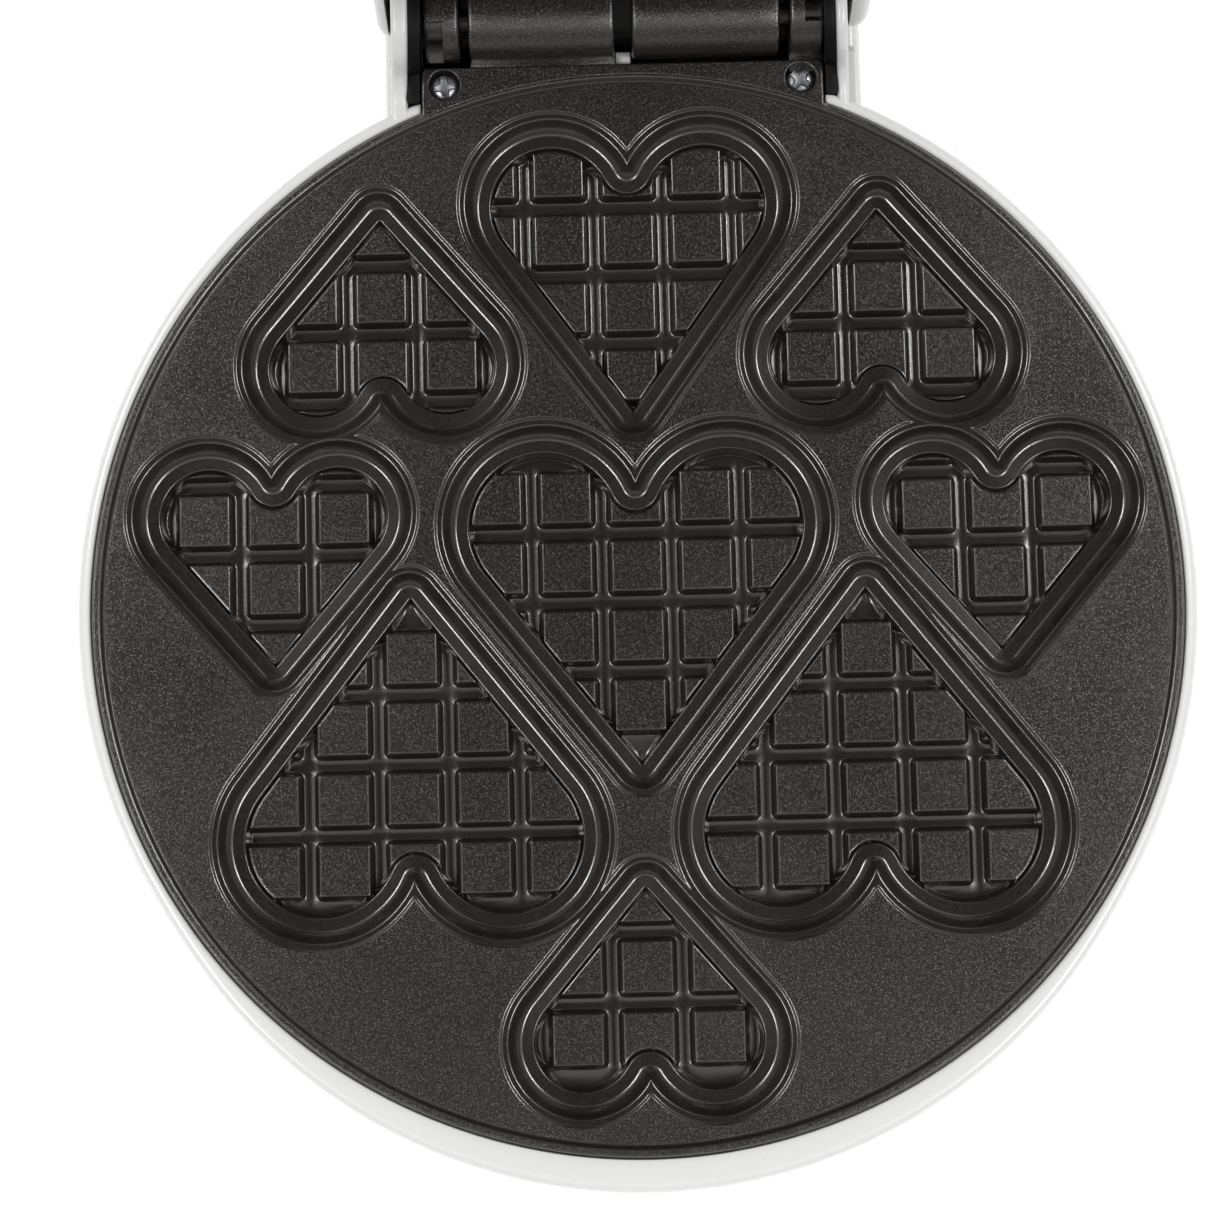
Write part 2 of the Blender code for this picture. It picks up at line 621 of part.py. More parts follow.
def lid_housing():
    body = shell("lid_housing", LID_OUT, LID, "white_plastic")
    stations = ((CHEEK_OUT, LID_EDGE_R), (CHEEK_OUT - 0.9, 0.9), (CHEEK_OUT - LID_EDGE_R, 0.0))
    stations = [(-x, inset) for x, inset in stations] + list(reversed(stations))
    add(body, loft("lid_rear_block", [lid_rear_ring(*station) for station in stations], LID))
    cut(body, shell("lid_inside", LID_IN, LID))
    cut(body, box("lid_rear_inside", (-CHEEK_IN, CHEEK_IN), (58, LID_REAR_IN),
                  (40, LID_BLOCK_TOP - 2.5), LID))
    cut(body, box("lid_rim_clear", (-60, 60), (55, 98.6), (40, 45.3), LID))
    for side in (-1, 1):
        end = "_left" if side < 0 else "_right"
        add(body, turned("lid_tab_boss" + end, (side * TAB_SCREW[0], TAB_SCREW[1]), "z",
                         ((52.3, 4.4), (75.0, 4.4)), LID, sides=12))
    cut(body, *lid_holes())
    return body


def lid_holes():
    holes = []
    for side in (-1, 1):
        end = "_left" if side < 0 else "_right"
        holes.append(turned("lid_tab_hole" + end, (side * TAB_SCREW[0], TAB_SCREW[1]), "z",
                            ((51, 1.9), (61, 1.9)), LID, sides=12))
        holes.append(turned("handle_screw_way" + end, (side * 22.0, 60.0), "y",
                            ((-118, 2.0), (-106, 2.0)), LID, sides=12))
        holes.append(turned("lens_hole" + end, (side * 10.0, -94.0), "z",
                            ((70, 3.8), (84, 3.8)), LID, sides=20))
    return holes


def handle():
    """Upper grip shell and lower half, shaped to sit against the lid."""
    grip = box("handle_grip", (-33, 33), (-153, -106), (54.5, 66.5), LID, "black_plastic",
               bevel=4.0, segments=3)
    under = box("handle_underside", (-30, 30), (-150, -131.3), (46.8, 54.2), LID,
                "white_plastic", bevel=1.5)
    add(under, box("lug_left", (-17.0, -12.8), (-134, -120.5), (47.0, 54.1), LID),
        box("lug_right", (12.8, 17.0), (-134, -120.5), (47.0, 54.1), LID))
    cut(grip, shell("handle_seat", LID_OUT, LID, grow=GAP))
    cut(under, turned("lug_bore", (LATCH_Y, LATCH_Z), "x", ((-20, 1.75), (20, 1.75)), LID, sides=12))
    for side in (-1, 1):
        end = "_left" if side < 0 else "_right"
        cut(grip, turned("grip_hole" + end, (side * 22.0, 60.0), "y",
                         ((-127, 1.9), (-105, 1.9)), LID, sides=12))
        turned("handle_screw" + end, (side * 22.0, 60.0), "y",
               ((-126, 1.6), (-105.3, 1.6), (-105.2, 3.4), (-103.1, 3.1)), LID, "steel", 12)
    turned("latch_pin", (LATCH_Y, LATCH_Z), "x", ((-16.8, 1.5), (16.8, 1.5)), LID, "steel", 16)


def latch():
    """Hook plate on its own pivot; drawn locked, hung released."""
    y, z = LATCH_Y, LATCH_Z
    body = box("latch", (-12.3, 12.3), (y - 1.6, y + 0.8), (27.6, z), LATCH, "black_plastic")
    add(body, turned("latch_barrel", (y, z), "x", ((-12.3, 3.1), (12.3, 3.1)), LATCH, sides=20))
    add(body, box("latch_toe", (-12.0, 12.0), (y - 0.7, -109.8), (27.9, 31.2), LATCH, bevel=0.5,
                  segments=1))
    add(body, box("latch_thumb", (-11.0, 11.0), (y - 6.5, y - 0.5), (28.2, 31.6), LATCH, bevel=0.8,
                  segments=1))
    cut(body, turned("latch_bore", (y, z), "x", ((-14, 1.75), (14, 1.75)), LATCH, sides=16))


def lid_electrics():
    for side, name, look in ((-1, "power_light_lens", "red_lens"), (1, "ready_light_lens", "green_lens")):
        turned(name, (side * 10.0, -94.0), "z",
               ((72.4, 3.0), (77.6, 3.4), (78.9, 3.0), (79.5, 1.8)), LID, look, 14)
        end = "_left" if side < 0 else "_right"
        turned("neon_lamp" + end, (side * 10.0, -94.0), "z", ((66.3, 2.0), (71.0, 2.0), (72.0, 0.8)),
               LID, "clear_glass", 12)
    box("lamp_holder", (-15, 15), (-98.5, -89.5), (63.0, 66.0), LID, "black_plastic", bevel=0.5,
        segments=1)
    path = [(-30.0, -31.8, 62.5), (-29.5, -42.0, 64.5), (-27.0, -52.0, 66.8), (-20.0, -67.0, 66.8),
            (-14.0, -76.0, 61.0), (-10.5, -81.0, 58.7), (-8.0, -86.0, 58.7), (-6.0, -88.2, 61.5),
            (-6.0, -88.3, 64.5)]
    sweep("lamp_lead", path, 1.1, LID, "wire_brown", 6)


def build():
    clear_scene()
    make_collections()
    make_frames()
    base_housing()
    bottom_cover()
    feet()
    cooking_plate("lower", BASE)
    plate_screws("lower", BASE)
    heating_parts("lower", BASE)
    base_wiring()
    hinge_hardware()
    lid_housing()
    cooking_plate("upper", UPPER)
    plate_screws("upper", UPPER)
    heating_parts("upper", UPPER)
    lid_electrics()
    handle()
    latch()


build()
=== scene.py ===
"""Looks of a round heart waffle maker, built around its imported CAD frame."""

import json
from math import acos, asin, atan2, cos, degrees, pi, radians, sin, sqrt

import bmesh
import bpy
import numpy as np
from mathutils import Matrix, Vector
from mathutils.geometry import delaunay_2d_cdt


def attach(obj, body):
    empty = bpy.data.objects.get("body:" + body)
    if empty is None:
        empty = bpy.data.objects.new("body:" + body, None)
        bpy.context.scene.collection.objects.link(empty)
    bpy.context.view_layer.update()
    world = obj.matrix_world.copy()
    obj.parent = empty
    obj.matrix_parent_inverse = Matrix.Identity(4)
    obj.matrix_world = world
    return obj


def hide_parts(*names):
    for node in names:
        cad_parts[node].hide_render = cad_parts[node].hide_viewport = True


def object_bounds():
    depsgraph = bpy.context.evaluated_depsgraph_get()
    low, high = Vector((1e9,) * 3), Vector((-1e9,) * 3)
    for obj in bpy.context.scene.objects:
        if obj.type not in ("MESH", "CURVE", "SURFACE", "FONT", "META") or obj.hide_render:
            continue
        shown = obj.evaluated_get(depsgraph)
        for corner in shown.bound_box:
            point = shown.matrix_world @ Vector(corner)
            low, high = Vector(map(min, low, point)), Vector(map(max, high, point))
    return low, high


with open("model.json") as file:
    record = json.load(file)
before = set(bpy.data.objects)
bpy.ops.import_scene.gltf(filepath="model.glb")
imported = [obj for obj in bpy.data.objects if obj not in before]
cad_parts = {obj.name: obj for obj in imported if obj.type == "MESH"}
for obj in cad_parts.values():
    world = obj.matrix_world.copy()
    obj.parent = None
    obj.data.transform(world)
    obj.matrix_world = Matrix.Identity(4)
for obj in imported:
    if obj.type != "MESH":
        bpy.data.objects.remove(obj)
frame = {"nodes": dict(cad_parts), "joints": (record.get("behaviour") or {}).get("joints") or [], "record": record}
cad_low, cad_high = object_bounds()

# ---- lengths, mm
# Everything is drawn in millimetres with the lid closed: x to the right, y to
# the hinge, z up from the table, middle of the plates at x = y = 0.
MM = 0.001
AXIS_Y, AXIS_Z = 118.6, 43.5
LATCH_Y, LATCH_Z = -124.5, 50.5
LID_OPEN, LATCH_OPEN = 105.0, 35.0
FIELD_Z = 42.0
PLATE_R = 108.0
LIP_H = 1.2
TIP_R = 5.3
PEG_PITCH, PEG_HALF, PEG_CORNER = 13.95, 5.1, 0.5
LEDGE_END, LEDGE_Z = 5.2, -5.2
PEG_Z, FLOOR_Z = -4.6, -7.2
ARC_STEP = 3.86  # degrees between points on the round parts of a heart or barrel
TAB_MID, TAB_X, TAB_BACK = -0.5, 40.5, 109.3
TAB_SCREWS = ((-36.4, 105.6), (35.4, 105.5))
RECESS_R, RECESS_Z = 3.05, -1.7
KNUCKLE_R, KNUCKLE_EDGE = 8.3, 0.8
INLET = (-24.0, 15.4)
LENS_X, LENS_Y = 10.0, -94.0
LATCH_BORE_R = 1.75
POCKET_DEEP, POCKET_CHAMFER = 3.4, 0.25

# lobe centre x, lobe centre y, lobe radius, half angle of the tip, first peg
# row above the tip, peg rows
LARGE = (18.4, 52.7, 20.05, 38.0, 16.75, 4)
MEDIUM = (15.5, 47.1, 17.2, 35.9, 12.6, 4)
SMALL = (12.9, 34.95, 14.75, 40.5, 6.65, 4)
SMALL_BARE = (12.9, 34.95, 14.75, 40.5, 6.65, 3)
HEARTS = (
    (MEDIUM, 0.0, 34.2, 1), (SMALL, -50.2, 84.3, -1), (SMALL, 50.2, 84.3, -1),
    (SMALL, -72.4, -15.4, 1), (SMALL, 72.4, -15.4, 1), (LARGE, 0.0, -36.5, 1),
    (LARGE, -45.4, 7.4, -1), (LARGE, 45.4, 7.4, -1), (SMALL_BARE, 0.0, -50.9, -1),
)

# Where the closed-lid drawing sits in the frame, and how each body is turned.
hinge = next(j for j in frame["joints"] if j["name"] == "lid_hinge")
SHIFT_Y = hinge["pos_m"][1] - AXIS_Y * MM


def about(y, z, degrees_x):
    """Turn about a line along x through (y, z) in millimetres."""
    there = Matrix.Translation((0, y, z))
    return there @ Matrix.Rotation(radians(degrees_x), 4, "X") @ there.inverted()


BASE = Matrix.Translation((0, SHIFT_Y, 0)) @ Matrix.Scale(MM, 4)
LID = BASE @ about(AXIS_Y, AXIS_Z, -LID_OPEN)
LATCH = LID @ about(LATCH_Y, LATCH_Z, -LATCH_OPEN)
FLIP = Matrix.Translation((0, 0, AXIS_Z)) @ Matrix.Rotation(pi, 4, "Y")
FLIP = FLIP @ Matrix.Translation((0, 0, -AXIS_Z))
UPPER = LID @ FLIP


# ---- plate relief, mm
def to_heart(x, y, heart):
    _, tip_x, tip_y, up = heart
    return x - tip_x, (y - tip_y) * up


def ring_distance(px, py, cx, cy, r, start, end):
    """Distance to an arc, start to end in degrees counter-clockwise."""
    dx, dy = px - cx, py - cy
    ang = np.degrees(np.arctan2(dy, dx))
    ang = np.where(ang < start - 1e-9, ang + 360.0, ang)
    ends = [np.hypot(px - (cx + r * cos(radians(a))), py - (cy + r * sin(radians(a))))
            for a in (start, end)]
    return np.where(ang <= end + 1e-9, np.abs(np.hypot(dx, dy) - r), np.minimum(*ends))


def heart_inset(x, y, size):
    """Signed distance in from a heart's wall-top line; tip at the origin."""
    cx, cy, r, half = size[:4]
    x = np.abs(x)
    n = (cos(radians(half)), -sin(radians(half)))
    p0 = (TIP_R * n[0], TIP_R + TIP_R * n[1])
    p1 = (cx + r * n[0], cy + r * n[1])
    notch = sqrt(r * r - cx * cx)
    notch_deg = degrees(atan2(notch, -cx))
    dist = ring_distance(x, y, cx, cy, r, -half, notch_deg)
    dist = np.minimum(dist, ring_distance(x, y, 0.0, TIP_R, TIP_R, -90.0, -half))
    ex, ey = p1[0] - p0[0], p1[1] - p0[1]
    t = np.clip(((x - p0[0]) * ex + (y - p0[1]) * ey) / (ex * ex + ey * ey), 0, 1)
    dist = np.minimum(dist, np.hypot(x - p0[0] - t * ex, y - p0[1] - t * ey))
    corners = [(0.0, TIP_R), p0, p1, (cx, cy), (0.0, cy + notch)]
    inside = np.ones_like(x, bool)
    for a, b in zip(corners, corners[1:] + corners[:1]):
        inside &= (b[0] - a[0]) * (y - a[1]) - (b[1] - a[1]) * (x - a[0]) >= 0
    inside |= np.hypot(x - cx, y - cy) < r
    inside |= np.hypot(x, y - TIP_R) < TIP_R
    return np.where(inside, dist, -dist)


def peg_inset(x, y, size):
    """Signed distance in from the edge of the nearest peg's flat top."""
    first, rows = size[4:]
    u = np.abs(x - PEG_PITCH * np.round(x / PEG_PITCH))
    row = np.clip(np.round((y - first) / PEG_PITCH), -1, rows - 1)
    v = np.abs(y - first - PEG_PITCH * row)
    inner = PEG_HALF - PEG_CORNER
    au, av = np.maximum(u - inner, 0.0), np.maximum(v - inner, 0.0)
    outside = np.hypot(au, av)
    return np.where(outside > 0, PEG_CORNER - outside,
                    PEG_CORNER + inner - np.maximum(u, v))


def tab_inset(x, y):
    """Signed distance in from the outline of the hinge tab."""
    c = 1.0
    dx = np.abs(x - TAB_MID) - (TAB_X - c)
    dy = y - (TAB_BACK - c)
    out = np.hypot(np.maximum(dx, 0), np.maximum(dy, 0))
    inset = c - np.where((dx > 0) | (dy > 0), out, np.maximum(dx, dy))
    return np.where(y > 60.0, inset, -50.0)


def rim_inset(x, y):
    return np.maximum(PLATE_R - np.hypot(x, y), tab_inset(x, y))


# profiles: (inset or radius, height); loops: the contours the mesh follows
FLANGE = ((-1.75, 0.0), (-1.68, -0.02), (-1.58, -0.09), (-1.36, -0.34), (-1.26, -0.41),
          (-1.1, -0.45), (-0.34, -0.49), (-0.24, -0.51), (0.06, -0.62), (0.14, -0.8),
          (0.9, -2.2), (1.5, -2.95), (2.0, -3.4), (2.24, -3.56), (2.44, -3.65), (2.62, -3.7),
          (4.72, -3.93), (4.94, -4.01), (5.06, -4.3), (LEDGE_END, LEDGE_Z))
FLANGE_LOOPS = (-1.82, -1.75, -1.68, -1.58, -1.36, -1.26, -1.1, -1.04, -0.6, -0.34, -0.24,
                0.06, 0.14, 0.2, 0.5, 0.9, 1.5, 2.0, 2.24, 2.44, 2.62, 2.68, 4.66, 4.72, 4.94,
                5.06, LEDGE_END, 5.32, 5.42, 5.5, 5.74, 5.8, 5.96)
PEG_EDGE = ((-1.5, FLOOR_Z - 0.1), (-0.98, FLOOR_Z), (-0.74, FLOOR_Z + 0.1),
            (-0.55, FLOOR_Z + 0.34), (-0.05, PEG_Z - 0.34), (0.02, PEG_Z - 0.13),
            (0.25, PEG_Z - 0.03), (0.34, PEG_Z))
PEG_LOOPS = (-1.4, -1.04, -0.98, -0.74, -0.55, -0.49, -0.1, -0.05, 0.02, 0.25, 0.34, 0.4, 0.6)
GROOVE_WALL = ((LEDGE_END, LEDGE_Z), (5.66, FLOOR_Z + 0.25), (5.9, FLOOR_Z - 0.3))
CREASE = ((LEDGE_END, LEDGE_Z), (5.32, LEDGE_Z), (5.42, PEG_Z - 0.24), (5.5, PEG_Z - 0.1),
          (5.74, PEG_Z))
LIP = ((105.7, 0.0), (105.84, 0.06), (105.95, 0.2), (106.35, 1.02), (106.42, 1.1),
       (106.66, LIP_H))
RIM = ((0.0, -0.55), (0.1, -0.28), (0.25, -0.1), (0.5, 0.0))
RECESS_EDGE = RECESS_R + 0.3
RECESS = ((RECESS_R - 0.1, RECESS_Z), (RECESS_R, RECESS_Z + 0.2), (RECESS_R + 0.05, LIP_H - 0.3),
          (RECESS_R + 0.13, LIP_H - 0.12), (RECESS_EDGE, LIP_H))
# a hairline runs round the hinge end of the lip
HAIRLINE_R, HAIRLINE_DEEP, HAIRLINE_HALF = 107.05, 0.16, 0.17
LIP_LOOPS = [105.4, 105.64] + [r for r, _ in LIP] + [106.72]
LIP_LOOPS += [HAIRLINE_R + k * HAIRLINE_HALF for k in (-1, 0, 1)] + [107.3]
RECESS_LOOPS = [RECESS_R - 0.16] + [r for r, _ in RECESS] + [RECESS_EDGE + 0.06]
NO_CUT = 50.0


def along(table, value):
    xs, zs = zip(*table)
    return np.interp(value, xs, zs)


def deepest(x, y):
    """Inset into the nearest heart, and the distance from its pegs' edges."""
    depth = np.full(x.shape, -99.0)
    peg = np.full(x.shape, -9.0)
    for heart in HEARTS:
        hx, hy = to_heart(x, y, heart)
        near = np.hypot(hx, hy - heart[0][1] * 0.6) < 60.0
        d = np.full(x.shape, -99.0)
        d[near] = heart_inset(hx[near], hy[near], heart[0])
        take = d > depth
        depth = np.where(take, d, depth)
        peg[take] = peg_inset(hx[take], hy[take], heart[0])
    return depth, peg


def relief(x, y):
    """Height of the plate's cooking face above its field."""
    depth, peg = deepest(x, y)
    pegs = np.minimum(along(PEG_EDGE, peg), along(CREASE, depth))
    inner = np.maximum(along(GROOVE_WALL, depth), pegs)
    z = np.where(depth < LEDGE_END, along(FLANGE, depth), inner)
    r = np.hypot(x, y)
    hairline = np.clip(1.0 - np.abs(r - HAIRLINE_R) / HAIRLINE_HALF, 0, 1)
    hairline *= HAIRLINE_DEEP * np.clip((y - 88.0) / 9.0, 0, 1)
    z = z + along(LIP, r) - hairline + along(RIM, rim_inset(x, y))
    hole = np.minimum(*(np.hypot(x - a, y - b) for a, b in TAB_SCREWS))
    cut = np.where(hole < RECESS_EDGE, along(RECESS, hole), NO_CUT)
    return np.minimum(z, cut)


# ---- contour loops, mm
def arc_points(cx, cy, r, start, end, step):
    n = max(1, int(round(abs(end - start) / step)))
    return [(cx + r * cos(radians(start + (end - start) * i / n)),
             cy + r * sin(radians(start + (end - start) * i / n))) for i in range(n + 1)]


def heart_loop(heart, inset, step):
    """Closed contour of a heart at a constant inset from its wall-top line."""
    size, tip_x, tip_y, up = heart
    cx, cy, r, half = size[:4]
    notch_y = cy + sqrt(r * r - cx * cx)
    notch_deg = degrees(atan2(notch_y - cy, -cx))
    if inset < 0:
        reach = r - inset
        notch_deg = degrees(atan2(sqrt(reach * reach - cx * cx), -cx))
    if inset < TIP_R - 0.05:
        right = arc_points(0.0, TIP_R, TIP_R - inset, -90.0, -half, step * 2)
    else:
        right = [(0.0, TIP_R + (inset - TIP_R) / sin(radians(half)))]
    right += arc_points(cx, cy, r - inset, -half, notch_deg, step)
    if inset > 0.05:
        right += arc_points(0.0, notch_y, inset, notch_deg - 180.0, -90.0, 16)[1:]
    loop = right + [(-x, y) for x, y in reversed(right[1:-1])]
    return [(tip_x + x, tip_y + up * y) for x, y in loop]


def peg_loops(heart):
    """Rounded squares at each contour of each peg, cut off near the heart's wall."""
    size, tip_x, tip_y, up = heart
    first, rows = size[4:]
    cols = int(size[0] * 2.1 / PEG_PITCH) + 1
    lines = []
    for row in range(-1, rows):
        for col in range(-cols, cols + 1):
            x0, y0 = PEG_PITCH * col, first + PEG_PITCH * row
            for inset in PEG_LOOPS:
                c = max(PEG_CORNER - inset, 0.05)
                h = PEG_HALF - PEG_CORNER
                pts = []
                for k, (sx, sy) in enumerate(((1, 1), (-1, 1), (-1, -1), (1, -1))):
                    pts += arc_points(x0 + sx * h, y0 + sy * h, c, 90.0 * k, 90.0 * (k + 1), 30)
                if heart_inset(*np.array(pts).T, size).max() >= LEDGE_END:
                    world = [(tip_x + x, tip_y + up * y) for x, y in pts]
                    lines += clipped(world, heart)
    return lines


def clipped(loop, heart):
    """Parts of a closed loop that lie deeper than the ledge, as open or closed lines."""
    fine = []
    for a, b in zip(loop, loop[1:] + loop[:1]):
        gap = max(abs(a[0] - b[0]), abs(a[1] - b[1]))
        n = max(1, int(gap / 0.6))
        fine += [(a[0] + (b[0] - a[0]) * i / n, a[1] + (b[1] - a[1]) * i / n) for i in range(n)]
    px, py = np.array(fine).T
    keep = heart_inset(*to_heart(px, py, heart), heart[0]) > LEDGE_END
    if keep.all():
        return [(loop, True)]
    lines, line = [], []
    n = len(fine)
    start = int(np.argmin(keep))
    for i in range(n + 1):
        j = (start + i) % n
        if keep[j] and i < n:
            line.append(fine[j])
        elif line:
            if len(line) > 1:
                lines.append((thinned(line), False))
            line = []
    return lines


def thinned(line):
    """Drops points in the middle of straight runs."""
    out = [line[0]]
    for i in range(1, len(line) - 1):
        (ax, ay), (bx, by), (cx, cy) = out[-1], line[i], line[i + 1]
        if abs((bx - ax) * (cy - by) - (by - ay) * (cx - bx)) > 1e-7:
            out.append(line[i])
    return out + [line[-1]]


def outline_loop(inset, step=1.5):
    """Outline of the plate and its tab, moved in by inset."""
    r = PLATE_R - inset
    left, right = TAB_MID - TAB_X + inset, TAB_MID + TAB_X - inset
    back, c = TAB_BACK - inset, max(1.0 - inset, 0.2)
    pts = arc_points(0, 0, r, degrees(acos(left / r)), 360.0 + degrees(acos(right / r)), step)
    pts += arc_points(right - c, back - c, c, 0, 90, 22.5)
    pts += [(v, back) for v in np.linspace(right - c, left + c, 28)[1:-1]]
    return pts + arc_points(left + c, back - c, c, 90, 180, 22.5)


def circle_loop(r, cx=0.0, cy=0.0, step=1.5):
    return arc_points(cx, cy, r, 0, 360 - step, step)


# ---- mesh helpers
def triangulate(lines):
    """Constrained triangulation of closed and open lines; points first come first."""
    points, edges = [], []
    for line, closed in lines:
        base = len(points)
        points += [Vector(p) for p in line]
        edges += [(base + i, base + i + 1) for i in range(len(line) - 1)]
        if closed:
            edges.append((base + len(line) - 1, base))
    verts, _, faces, origin, _, _ = delaunay_2d_cdt(points, edges, [], 0, 1e-5)
    return np.array([v[:] for v in verts]), np.array(faces), origin


def added(name, data):
    obj = bpy.data.objects.new(name, data)
    bpy.context.scene.collection.objects.link(obj)
    return obj


def first_line(origin, count):
    """Where the triangulation put the points of its first line, in their order."""
    found = {src: i for i, group in enumerate(origin) for src in group if src < count}
    return [found[i] for i in range(count)]


def make_object(name, verts, faces, matrix, normals=None):
    """Mesh object at the origin from millimetre points, with optional point normals."""
    mesh = bpy.data.meshes.new(name)
    mesh.from_pydata([tuple(v) for v in verts], [], [tuple(f) for f in faces])
    mesh.transform(matrix)
    mesh.polygons.foreach_set("use_smooth", [True] * len(mesh.polygons))
    mesh.update()
    if normals is not None:
        turn = np.array(matrix.to_3x3().normalized())
        n = normals @ turn.T
        n /= np.linalg.norm(n, axis=1)[:, None]
        mesh.normals_split_custom_set_from_vertices(n.tolist())
    return added(name, mesh)


def calm_at(x, y):
    """1 where the coating is smooth (walls, ledges, grooves), 0 where it is coarse."""
    depth, peg = deepest(x, y)
    on_peg = (peg > 0.4) & (depth > 5.9)
    r = np.hypot(x, y)
    on_lip = (r > 105.6) & (r < 106.7)
    return np.where(((depth > -1.8) & ~on_peg) | on_lip, 1.0, 0.0)


def strip(a, b):
    """Quads between two closed rings of the same length."""
    n = len(a)
    return [(a[i], a[(i + 1) % n], b[(i + 1) % n], b[i]) for i in range(n)]


def slope_normals(height, x, y, flip=1.0):
    """Normals of a height field from central differences."""
    e = 0.04
    gx = (height(x + e, y) - height(x - e, y)) / (2 * e)
    gy = (height(x, y + e) - height(x, y - e)) / (2 * e)
    n = np.stack([-gx * flip, -gy * flip, np.full(len(x), flip)], axis=1)
    return n / np.linalg.norm(n, axis=1)[:, None]


def underside(x, y):
    """Height of the plate's hidden face: rim, thin disc and heart-shaped bosses."""
    depth, _ = deepest(x, y)
    disc = along(((103.5, -5.0), (104.3, -6.3)), np.hypot(x, y))
    return np.minimum(disc, along(((-3.4, -5.0), (-2.4, -9.8)), depth))


def plate_points():
    """Points, faces and normals of the whole cooking plate, closed underneath."""
    lines = [(outline_loop(inset), True) for inset in (0.0, 0.1, 0.25, 0.5, 0.56)]
    lines += [(circle_loop(r), True) for r in LIP_LOOPS]
    for x, y in TAB_SCREWS:
        lines += [(circle_loop(r, x, y, 9), True) for r in RECESS_LOOPS]
    for heart in HEARTS:
        lines += [(heart_loop(heart, inset, ARC_STEP), True) for inset in FLANGE_LOOPS]
        lines += peg_loops(heart)
    top, faces, origin = triangulate(lines)
    centres = top[faces].mean(axis=1)
    faces = faces[rim_inset(centres[:, 0], centres[:, 1]) > 0].tolist()
    x, y = top[:, 0], top[:, 1]
    points = [np.column_stack([x, y, relief(x, y)])]
    normals = [slope_normals(relief, x, y)]
    count = len(lines[0][0])
    rim = first_line(origin, count)

    edge = np.array(outline_loop(0.0))
    out = np.roll(edge, -1, 0) - np.roll(edge, 1, 0)
    out = np.column_stack([out[:, 1], -out[:, 0]]) / np.linalg.norm(out, axis=1)[:, None]
    normals[0][rim] = np.column_stack([out, np.full(count, 0.5)])
    ring = len(top) + np.arange(count)
    points.append(np.column_stack([edge, np.full(count, -5.7)]))
    normals.append(np.column_stack([out, np.full(count, -0.2)]))
    faces += [f[::-1] for f in strip(rim, ring.tolist())]

    under_lines = [(outline_loop(0.6), True)]
    under_lines += [(circle_loop(r), True) for r in (104.3, 103.5)]
    under_lines += [(heart_loop(h, inset, 9.0), True) for h in HEARTS for inset in (-3.4, -2.4)]
    low, low_faces, low_origin = triangulate(under_lines)
    centres = low[low_faces].mean(axis=1)
    low_faces = low_faces[rim_inset(centres[:, 0], centres[:, 1]) > 0.6]
    base = len(top) + count
    low_rim = [base + i for i in first_line(low_origin, count)]
    faces += [f[::-1] for f in strip(ring.tolist(), low_rim)]
    faces += (low_faces[:, ::-1] + base).tolist()
    x, y = low[:, 0], low[:, 1]
    points.append(np.column_stack([x, y, underside(x, y)]))
    normals.append(slope_normals(underside, x, y, -1.0))
    points = np.vstack(points)
    points[:, 2] += FIELD_Z
    calm = np.zeros(len(points))
    calm[:len(top)] = calm_at(top[:, 0], top[:, 1])
    return points, faces, np.vstack(normals), calm


# ---- solid helpers
def object_from(bm, name):
    """Hands a millimetre bmesh over as an object, not yet placed."""
    bmesh.ops.recalc_face_normals(bm, faces=bm.faces)
    mesh = bpy.data.meshes.new(name)
    bm.to_mesh(mesh)
    bm.free()
    return added(name, mesh)


def lofted(name, rings, closed_profile=False):
    """Surface through closed rings; the ends are capped unless the profile closes."""
    bm = bmesh.new()
    loops = [[bm.verts.new(p) for p in ring] for ring in rings]
    pairs = list(zip(loops, loops[1:]))
    if closed_profile:
        pairs.append((loops[-1], loops[0]))
    for a, b in pairs:
        for quad in strip(a, b):
            bm.faces.new(quad)
    if not closed_profile:
        bm.faces.new(loops[0][::-1])
        bm.faces.new(loops[-1])
    return object_from(bm, name)


def spin(name, centre, axis, profile, sides):
    """Round solid about a line along axis; profile is (position, radius)."""
    rings = []
    for at, radius in profile:
        ring = []
        for i in range(sides):
            a = 2 * pi * i / sides
            u, v = centre[0] + radius * cos(a), centre[1] + radius * sin(a)
            ring.append({"x": (at, u, v), "y": (u, at, v), "z": (u, v, at)}[axis])
        rings.append(ring)
    return lofted(name, rings)


def block(name, xs, ys, zs, radius=0.0, segments=4):
    bm = bmesh.new()
    bmesh.ops.create_cube(bm, size=1.0)
    for v in bm.verts:
        v.co = [lo + (c + 0.5) * (hi - lo) for c, (lo, hi) in zip(v.co, (xs, ys, zs))]
    if radius:
        bmesh.ops.bevel(bm, geom=list(bm.edges), offset=radius, segments=segments,
                        profile=0.5, affect="EDGES", clamp_overlap=True)
    return object_from(bm, name)


def slab(name, xs, outline, radius, segments=3):
    """Plate standing in the y-z plane with rounded edges."""
    bm = bmesh.new()
    face = bm.faces.new([bm.verts.new((xs[0], y, z)) for y, z in outline])
    grown = bmesh.ops.extrude_face_region(bm, geom=[face])["geom"]
    for v in grown:
        if isinstance(v, bmesh.types.BMVert):
            v.co.x = xs[1]
    bmesh.ops.recalc_face_normals(bm, faces=bm.faces)
    edges = [e for e in bm.edges if abs(e.verts[0].co.x - e.verts[1].co.x) < 1e-6]
    bmesh.ops.bevel(bm, geom=edges, offset=radius, segments=segments, profile=0.5,
                    affect="EDGES", clamp_overlap=True)
    return object_from(bm, name)


def quarter(steps):
    """Angles from 0 to 90 degrees."""
    return [radians(90.0 * k / steps) for k in range(steps + 1)]


